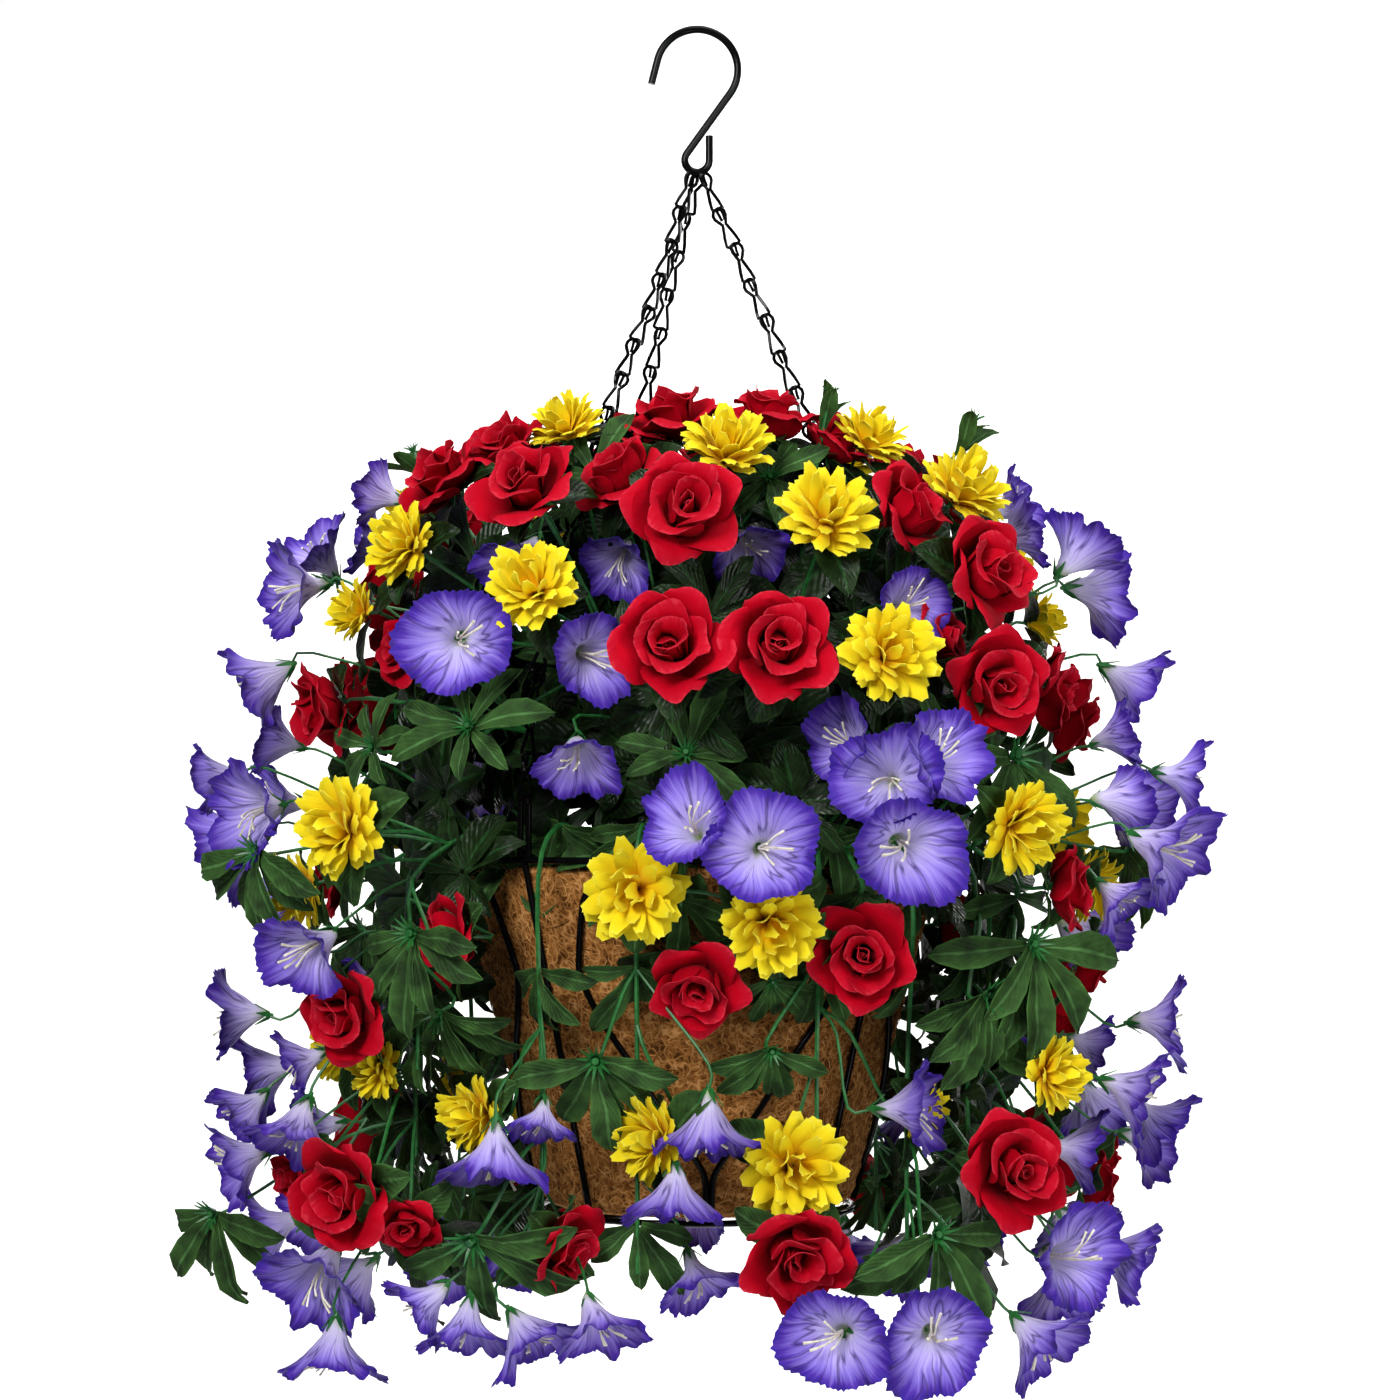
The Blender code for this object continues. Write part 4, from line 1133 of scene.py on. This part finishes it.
class BASKET_OT_chains(Operator):
    """Bends one chain link and hangs copies of it along the three chains"""

    bl_idname = "basket.chains"
    bl_label = "Chains"

    def link(self, wire):
        """A link as a closed wire: a bar across its foot, a waist, and a bulb over the link above."""
        half = [
            (0.0, -23.0), (3.6, -23.0), (4.5, -22.2), (3.6, -17.5), (1.6, -10.5), (1.2, -9.0), (2.6, -6.5),
            (3.9, -4.0), (4.0, -1.6), (3.0, 0.6), (1.2, 1.5),
        ]
        lift = [0.0, 0.0, 0.0, 0.0, 0.0, 0.2, 0.8, 1.5, 1.7, 1.5, 1.0]
        right = [Vector((x, -y, z)) * MM for (x, z), y in zip(half, lift)]
        left = [Vector((-x, -y, z)) * MM for (x, z), y in zip(half[1:], lift[1:])]
        tail = (1.2, -1.0, 1.5), (1.5, 0.9, 0.6), (1.3, 1.5, -2.5), (1.0, 1.3, -6)
        tails = [even([Vector((side * x, y, z)) * MM for x, y, z in tail], 0.9) for side in (-1, 1)]
        return wires("link_pattern", [even(right + left[::-1], closed=True), *tails], wire, 1)

    def execute(self, context):
        sizes = context.scene.basket_sizes
        chance = random.Random(11)
        pattern = self.link(sizes.link_wire)
        give(pattern, "powder_coat")
        for name, azimuth in CHAIN_ENDS.items():
            start = Vector((CHAIN_ACROSS[name] * MM, 0, CHAIN_TOP_Z * MM))
            way = [around(a, r * MM, z * MM) for a, r, z in CHAIN_ROUTES[name]]
            route = smooth_route([start, *way, around(azimuth, RIM_R, CHAIN_FOOT_Z * MM)], 30)
            length = sum((b - a).length for a, b in zip(route, route[1:]))
            count = round(length / sizes.link_pitch)
            copies = []
            for number in range(count):
                top, foot = [point_along(route, length * n / count) for n in (number, number + 1)]
                down = (foot - top).normalized()
                side = down.cross(Vector((0, 1, 0))).normalized()
                turn = Matrix((side, -down.cross(side), -down)).transposed().to_4x4()
                spin = Matrix.Rotation(math.radians(28 * (-1) ** number + chance.uniform(-12, 12)), 4, "Z")
                scale = Matrix.Scale(length / count / sizes.link_pitch, 4)
                copies.append(copy_of(pattern, Matrix.Translation(top) @ turn @ spin @ scale))
            ride(gather("links_" + name, copies), "wire_black", "chain_" + name)
        drop_patterns([pattern])
        return {"FINISHED"}


def point_along(route, distance):
    """The point this far along a line of points."""
    for one, other in zip(route, route[1:]):
        step = (other - one).length
        if distance <= step:
            return one.lerp(other, distance / step)
        distance -= step
    return route[-1]


def wall_reach(height):
    """How far the basket's wires stand from its axis at this height."""
    return RIM_R + (BASE_R - RIM_R) * (height - RIM_Z) / (BASE_Z - RIM_Z)


def turned(name, outline, corners):
    """A shell turned round the Z axis, drawn out ring by ring from its first (reach, height) to its last."""
    bpy.ops.object.select_all(action="DESELECT")
    bpy.ops.mesh.primitive_circle_add(vertices=corners, radius=outline[0][0], location=(0, 0, outline[0][1]))
    made = bpy.context.object
    bpy.ops.object.transform_apply(location=True, rotation=False, scale=False)
    bpy.ops.object.mode_set(mode="EDIT")
    bpy.ops.mesh.select_all(action="SELECT")
    for (reach, height), (next_reach, next_height) in zip(outline, outline[1:]):
        bpy.ops.mesh.extrude_edges_move(TRANSFORM_OT_translate={"value": (0, 0, next_height - height)})
        share = next_reach / reach
        bpy.ops.transform.resize(value=(share, share, 1), center_override=(0, 0, next_height))
    bpy.ops.mesh.edge_face_add()
    bpy.ops.mesh.select_all(action="SELECT")
    bpy.ops.mesh.normals_make_consistent(inside=False)
    bpy.ops.object.mode_set(mode="OBJECT")
    made.name = name
    made.data.name = name
    return made


class BASKET_OT_coir(Operator):
    """Shapes the coir lining with its uneven lip, lays loose fibres on it and sets the foam inside"""

    bl_idname = "basket.coir"
    bl_label = "Coir lining and foam"

    def lining(self):
        """The pressed lining: a cup with a rounded foot and an uneven face and lip."""
        low, high = LINER_LOW, LINER_HIGH
        wall, round_foot, middle, lip_rise = 9 * MM, 14 * MM, 20 * MM, 2.2 * MM
        gap = wall_reach(high.z) - high.x
        heights = [high.z + (low.z + round_foot - high.z) * step / 34 for step in range(35)]
        outer = [(wall_reach(height) - gap, height) for height in heights]
        foot = [
            (outer[-1][0] - round_foot * (1 - math.cos(angle)), outer[-1][1] - round_foot * math.sin(angle))
            for angle in (math.radians(degrees) for degrees in (22, 45, 68, 90))
        ]
        inner = [(reach - wall, height) for reach, height in reversed(outer[::6])]
        lip = [(high.x - inset, high.z + lip_rise) for inset in (7 * MM, 2 * MM)]
        floor = [(middle, low.z + wall), (inner[0][0], low.z + wall)]
        lining = turned("coir_lining", [*floor, *inner[1:], *lip, *outer, *foot, (middle, low.z)], 144)
        for corner in lining.data.vertices:
            out = Vector((corner.co.x, corner.co.y, 0)).normalized()
            swell = noise.noise(corner.co / (22 * MM)) * 0.9 + noise.noise(corner.co / (5 * MM)) * 0.5 - 0.7
            corner.co += out * swell * MM
            if corner.co.z > RIM_Z - 8 * MM:
                corner.co.z += 2.5 * MM * noise.noise(corner.co / (9 * MM))
        only(lining)
        bpy.ops.object.shade_smooth_by_angle(angle=math.radians(60))
        give(lining, "coir_mat")
        ride(lining, "coir", "coir_liner")

    def loose_fibres(self, count):
        """Short bent fibres that stand off the lining's face."""
        chance = random.Random(21)
        top, floor = LINER_HIGH.z, BASE_Z
        routes = []
        for _ in range(count):
            azimuth = chance.uniform(0, 360)
            height = chance.uniform(floor + 8 * MM, top + 3 * MM)
            way = chance.uniform(0, math.tau)
            bend = chance.uniform(-0.8, 0.8)
            step = chance.uniform(2.6, 5.5) * MM
            lift = chance.uniform(0.2, 1.1) * MM
            points = []
            for number in range(4):
                height = min(max(height, floor + 4 * MM), top + 4 * MM)
                reach = wall_reach(height) - 2.6 * MM + lift * math.sin(math.pi * number / 3)
                points.append(around(azimuth, reach, height))
                azimuth += math.degrees(math.cos(way) * step / reach)
                height += math.sin(way) * step
                way += bend
            routes.append((points, [0.7, 1.1, 1.0, 0.5], False))
        fibres = wires("coir_fibres", routes, 0.32 * MM, 0)
        give(fibres, "coir_strand")
        ride(fibres, "coir", "coir_liner")

    def foam(self):
        """The block inside, which narrows downwards with the basket and is sunk a little at its top."""
        low, high = FOAM_LOW, FOAM_HIGH
        reach = high.x
        slope = (RIM_R - BASE_R) / (RIM_Z - BASE_Z)
        depth = high.z - low.z
        foot = reach - slope * depth
        foam = turned("foam_block", [
            (0.25 * reach, high.z), (0.6 * reach, high.z), (reach - 5 * MM, high.z),
            (reach - 0.5 * MM, high.z - 4 * MM), (foot + 6 * MM, low.z + 14 * MM), (foot * 0.85, low.z),
        ], 64)
        for corner in foam.data.vertices:
            sunk = 1.0 * MM * (corner.co.z > high.z - 1 * MM)
            corner.co.z += 1.2 * MM * noise.noise(corner.co / (12 * MM)) - sunk
        give(foam, "floral_foam")
        ride(foam, "floral_foam", "floral_foam")

    def execute(self, context):
        self.lining()
        self.loose_fibres(context.scene.basket_sizes.fibres)
        self.foam()
        return {"FINISHED"}


class BASKET_OT_stems(Operator):
    """Draws the plastic stems and side stems, and puts a calyx behind every flower"""

    bl_idname = "basket.stems"
    bl_label = "Stems"

    def execute(self, context):
        sizes = context.scene.basket_sizes
        chance = random.Random(31)
        calyxes = {kind: make_calyx(kind + "_calyx", *shape) for kind, shape in CALYXES.items()}
        regions = {}
        for spray in all_sprays():
            routes, holders, nodes = regions.setdefault(spray.region, ([], [], []))
            nodes.append(spray.name)
            stem = stem_route(spray)
            widths = [sizes.stem * (1 - 0.3 * i / len(stem)) for i in range(len(stem))]
            routes.append((stem, widths, False))
            for flower in spray.flowers:
                place, direction = heading(spray, flower)
                size = flower.size * MM
                base = place - direction * size * FLOWER_BASE[flower.kind]
                thin = 0.8 if flower.kind == "glory" else 1.0
                routes.append(even(twig_route(stem, base, direction), sizes.twig * thin))
                scale = max(size / CALYX_FITS, CALYX_LEAST)
                holders.append(stand(calyxes[flower.kind], base, direction, chance.uniform(0, 360), scale))
        for region, (routes, holders, nodes) in regions.items():
            stems = wires("stem_wires", routes, 1.0, 1)
            give(stems, "stem_plastic")
            ride(gather(f"stems_{region}", [stems, *holders]), "stem_green", *nodes)
        drop_patterns(calyxes.values())
        return {"FINISHED"}


class BASKET_OT_leaves(Operator):
    """Sets rosettes of slim leaves on the sprays, oval leaves behind the flowers, and fills the dome"""

    bl_idname = "basket.leaves"
    bl_label = "Leaves"

    def rosette(self, patterns, place, direction, size, count, fan=360.0, droop=0.0):
        """Leaves round a stem's end. size is the rosette's diameter, and a fan under 360 opens downwards."""
        chance = self.chance
        turn = direction.to_track_quat("Z", "Y").to_matrix().to_4x4()
        made = []
        for number in range(count):
            spread = fan * ((number + 0.5) / count - 0.5) - 90 + chance.uniform(-14, 14)
            lean = math.radians(chance.uniform(-10, 30) + droop)
            scale = size / ROSETTE_SIZE * chance.uniform(0.72, 1.15)
            matrix = (
                Matrix.Translation(place) @ turn @ Matrix.Rotation(math.radians(spread), 4, "Z")
                @ Matrix.Rotation(lean, 4, "Y") @ Matrix.Scale(scale, 4)
            )
            made.append(copy_of(patterns[chance.randrange(len(patterns))], matrix))
        return made

    def at_flower(self, spray, flower, slim, oval):
        """The leaves that belong to one flower or leaf spray."""
        place, direction = heading(spray, flower)
        size = flower.size * MM
        if flower.kind == "glory":
            return []
        if flower.kind != "leaves":
            base = place - direction * size * (FLOWER_BASE[flower.kind] + 0.05)
            return self.rosette(oval, base, direction, self.chance.uniform(86, 104) * MM, 3, droop=4.0)
        if flower.size < SPRIG_SIZE:
            return self.rosette(slim, place - direction * 24 * MM, direction, size * 1.5, 3, 200.0, -62.0)
        fan, droop = (172.0, 16.0) if spray.trailing else (360.0, 0.0)
        return self.rosette(slim, place, direction, size * 1.25, 7, fan, droop)

    def down_stem(self, spray, slim):
        """The leaves along a hanging stem."""
        chance = self.chance
        stem = stem_route(spray)
        made = []
        for share, size, rise in ((0.36, 112, 25), (0.5, 84, -5), (0.75, 84, -5), (0.96, 84, -5)):
            place = stem[int(share * (len(stem) - 1))]
            azimuth = spray.stem[0] + spray.turn + chance.uniform(-30, 30)
            outward = facing(azimuth, rise + chance.uniform(-25, 25))
            size *= chance.uniform(0.86, 1.14) * MM
            made += self.rosette(slim, place, outward, size, 5, 180.0, 20.0)
        return made

    def dome_shell(self, rosettes):
        """Where the rosettes stand round and up the dome, evenly by the golden angle. Every third one is
        deeper inside, and so are those near a chain or a morning glory."""
        glories = [
            heading(spray, flower)[0]
            for spray in all_sprays() for flower in spray.flowers if flower.kind == "glory"
        ]
        for number in range(rosettes):
            azimuth = number * GOLDEN_ANGLE
            rise = math.asin(-0.16 + 1.16 * (number + 0.5) / rosettes)
            by_chain = any(abs((azimuth - end + 180) % 360 - 180) < 20 for end in CHAIN_ENDS.values())
            outer = around(azimuth, DOME_R * math.cos(rise), DOME_Z + DOME_TOP * math.sin(rise))
            by_glory = any((outer - glory).length < 48 * MM for glory in glories)
            shell = DOME_CORE_R if number % 3 == 0 or by_chain or by_glory else DOME_R
            place = around(azimuth, shell * math.cos(rise), DOME_Z + DOME_TALL * shell * math.sin(rise))
            turn = self.chance.uniform(-25, 25)
            tip = self.chance.uniform(-15, 15)
            yield "crown", azimuth, place, facing(azimuth + turn, math.degrees(rise) * 0.8 + tip), (105, 130)

    def basket_sides(self):
        """Where leaves darkened as painted shade fill the gaps between the hanging stems and the basket's
        sides.
        """
        chance = self.chance
        for azimuth, height in itertools.product((58, 76, 94, 112, 130), (-522, -585, -650, -712)):
            for side in (1, -1):
                turn = side * azimuth
                place = around(
                    turn + chance.uniform(-7, 7), INNER_HANG_R, (height + chance.uniform(-18, 18)) * MM,
                )
                direction = facing(turn + chance.uniform(-40, 40), chance.uniform(-30, 30))
                yield "trailing", turn, place, direction, (90, 115)

    def dome_core(self):
        """Where leaves stand in the dome's core and shoulders, so that no light comes through them."""
        core = itertools.product(range(0, 360, 45), ((78, -341), (58, -300)))
        shoulders = itertools.product((60, 90, 120, 240, 270, 300), ((148, -335),))
        for azimuth, (reach, height) in (*core, *shoulders):
            place = around(azimuth, reach * MM, height * MM)
            direction = facing(azimuth + self.chance.uniform(-20, 20), self.chance.uniform(0, 25))
            yield "crown", azimuth, place, direction, (105, 130)

    def execute(self, context):
        sizes = context.scene.basket_sizes
        self.chance = random.Random(41)
        slim = [make_leaf("slim_leaf", SLIM_LEAF, slim_leaf_width, n, sizes.leaf) for n in range(5)]
        # the crown's oval leaves take the darker finish, painted shade; the trailing sprays' take the plain
        # leaf face
        painted_shade_oval, oval = [
            [make_leaf("oval_leaf", OVAL_LEAF, oval_leaf_width, n, sizes.leaf, face=face) for n in (5, 6, 7)]
            for face in ("leaf_waxed", "leaf_face")
        ]
        # the dome's leaves take the darker finish: painted shade
        inner = [
            make_leaf("inner_leaf", *kind, n, sizes.leaf, (2, 4), "leaf_waxed")
            for n, kind in enumerate(((SLIM_LEAF, slim_leaf_width), (OVAL_LEAF, oval_leaf_width)) * 2, 8)
        ]
        regions = {}
        for spray in all_sprays():
            leaves = regions.setdefault(spray.region, [])
            for flower in spray.flowers:
                leaves += self.at_flower(spray, flower, slim, oval if spray.trailing else painted_shade_oval)
            if spray.trailing:
                leaves += self.down_stem(spray, slim)
        fills = self.dome_shell(sizes.inner_rosettes), self.basket_sides(), self.dome_core()
        for kind, azimuth, place, direction, (least, most) in itertools.chain(*fills):
            size = self.chance.uniform(least, most) * MM
            regions[region_at(kind, azimuth)] += self.rosette(inner, place, direction, size, 7)
        for region, leaves in regions.items():
            ride(gather(f"leaves_{region}", leaves), "leaf_green")
        drop_patterns(slim + painted_shade_oval + oval + inner)
        return {"FINISHED"}


class BASKET_OT_roses(Operator):
    """Makes the roses of each spray from three patterns"""

    bl_idname = "basket.roses"
    bl_label = "Roses"

    def execute(self, context):
        patterns = [make_rose(number, context.scene.basket_sizes.petal) for number in range(3)]
        plant_flowers("rose", patterns, ROSE_SIZE, "rose_red", 51)
        return {"FINISHED"}


class BASKET_OT_mums(Operator):
    """Makes the chrysanthemums of each spray from three patterns"""

    bl_idname = "basket.mums"
    bl_label = "Chrysanthemums"

    def execute(self, context):
        patterns = [make_mum(number, context.scene.basket_sizes.petal) for number in range(3)]
        plant_flowers("mum", patterns, MUM_SIZE, "mum_yellow", 61)
        return {"FINISHED"}


class BASKET_OT_glories(Operator):
    """Makes the morning glories of each spray from four patterns"""

    bl_idname = "basket.glories"
    bl_label = "Morning glories"

    def execute(self, context):
        patterns = [make_glory(number, context.scene.basket_sizes.petal) for number in range(4)]
        plant_flowers("glory", patterns, GLORY_SIZE, "glory_violet", 71)
        return {"FINISHED"}


class BASKET_OT_studio(Operator):
    """Sets up the pale sweep, the soft lights and the camera"""

    bl_idname = "basket.studio"
    bl_label = "Studio"

    def sweep(self):
        """A pale floor that curves up behind the basket."""
        bpy.ops.object.select_all(action="DESELECT")
        bpy.ops.mesh.primitive_plane_add(size=1, location=(0, -1.5, -1.9))
        floor = bpy.context.object
        floor.scale = (16, 8, 1)
        bpy.ops.object.transform_apply(location=True, rotation=False, scale=True)
        bpy.ops.object.mode_set(mode="EDIT")
        bpy.ops.mesh.select_all(action="DESELECT")
        cloth = bmesh.from_edit_mesh(floor.data)
        for edge in cloth.edges:
            edge.select = all(corner.co.y > 0 for corner in edge.verts)
        bmesh.update_edit_mesh(floor.data)
        part = 0.16  # of the curve up to the wall, in twelve equal parts
        for step in range(1, 13):
            angle = math.radians(90 * (step - 0.5) / 12)
            bpy.ops.mesh.extrude_edges_move(
                TRANSFORM_OT_translate={"value": (0, part * math.cos(angle), part * math.sin(angle))},
            )
        bpy.ops.mesh.extrude_edges_move(TRANSFORM_OT_translate={"value": (0, 0, 4)})
        bpy.ops.object.mode_set(mode="OBJECT")
        bpy.ops.object.shade_smooth()
        floor.name = "studio_sweep"
        # matt emulsion paint, nearly white
        paint, _ = new_material(
            "painted_sweep", Base_Color=(*linear("#E6E6E4"), 1), Roughness=0.9, Specular_IOR_Level=0.1,
        )
        floor.data.materials.append(paint)

    def lamp(self, name, place, aim, size, power, spread=180):
        """A square lamp of this size in metres and power in watts, turned from its place to its aim."""
        bpy.ops.object.light_add(type="AREA", location=place)
        lamp = bpy.context.object
        lamp.name = name
        lamp.data.size = size
        lamp.data.energy = power
        lamp.data.spread = math.radians(spread)
        lamp.rotation_euler = (Vector(aim) - Vector(place)).to_track_quat("-Z", "Y").to_euler()

    def execute(self, context):
        self.sweep()
        self.lamp("key_light", (-0.9, -2.2, 0.7), (0, 0, -0.45), 0.8, 60)
        self.lamp("fill_light", (1.5, -1.9, -0.3), (0, 0, -0.5), 1.0, 22)
        self.lamp("top_light", (0.2, -0.3, 1.3), (0, 0, -0.4), 1.2, 24)
        self.lamp("low_light", (0.45, -1.75, -1.45), (0, 0, -0.6), 0.4, 3.5)
        self.lamp("back_light", (1.6, 1.6, 0.5), (0, 0, -0.45), 1.0, 24)
        self.lamp("wall_light", (0, 0.9, 1.9), (0, 3.7, -0.5), 1.6, 66, 80)
        world = bpy.data.worlds.new("studio_air")
        world.use_nodes = True
        world.node_tree.nodes["Background"].inputs["Color"].default_value = (1, 1, 1, 1)
        world.node_tree.nodes["Background"].inputs["Strength"].default_value = 0.11
        context.scene.world = world
        context.scene.view_settings.view_transform = "Standard"
        bpy.ops.object.camera_add(location=(0.0018, -2.012, -0.482), rotation=(math.radians(92.08), 0, 0))
        camera = bpy.context.object
        camera.data.lens = 85
        camera.data.sensor_width = 36
        context.scene.camera = camera
        return {"FINISHED"}


STEPS = (
    BASKET_OT_studio, BASKET_OT_hook, BASKET_OT_frame_wires, BASKET_OT_chains, BASKET_OT_coir,
    BASKET_OT_stems, BASKET_OT_leaves, BASKET_OT_roses, BASKET_OT_mums, BASKET_OT_glories,
)


class BASKET_PT_panel(Panel):
    bl_label = "Hanging basket"
    bl_idname = "BASKET_PT_panel"
    bl_space_type = "VIEW_3D"
    bl_region_type = "UI"
    bl_category = "Basket"

    def draw(self, context):
        column = self.layout.column()
        for step in STEPS:
            column.operator(step.bl_idname)
        for group in (context.scene.basket_sizes, context.scene.basket_colours):
            for name in group.__annotations__:
                column.prop(group, name)


CLASSES = (BasketSizes, BasketColours, *STEPS, BASKET_PT_panel)


def register():
    noise.seed_set(NOISE_SEED)
    for made in CLASSES:
        bpy.utils.register_class(made)
    bpy.types.Scene.basket_sizes = PointerProperty(type=BasketSizes)
    bpy.types.Scene.basket_colours = PointerProperty(type=BasketColours)


def unregister():
    del bpy.types.Scene.basket_colours
    del bpy.types.Scene.basket_sizes
    for made in reversed(CLASSES):
        bpy.utils.unregister_class(made)


def main():
    register()
    bpy.ops.basket.studio()
    bpy.ops.basket.hook()
    bpy.ops.basket.frame_wires()
    bpy.ops.basket.chains()
    bpy.ops.basket.coir()
    bpy.ops.basket.stems()
    bpy.ops.basket.leaves()
    bpy.ops.basket.roses()
    bpy.ops.basket.mums()
    bpy.ops.basket.glories()


if __name__ == "__main__":
    main()
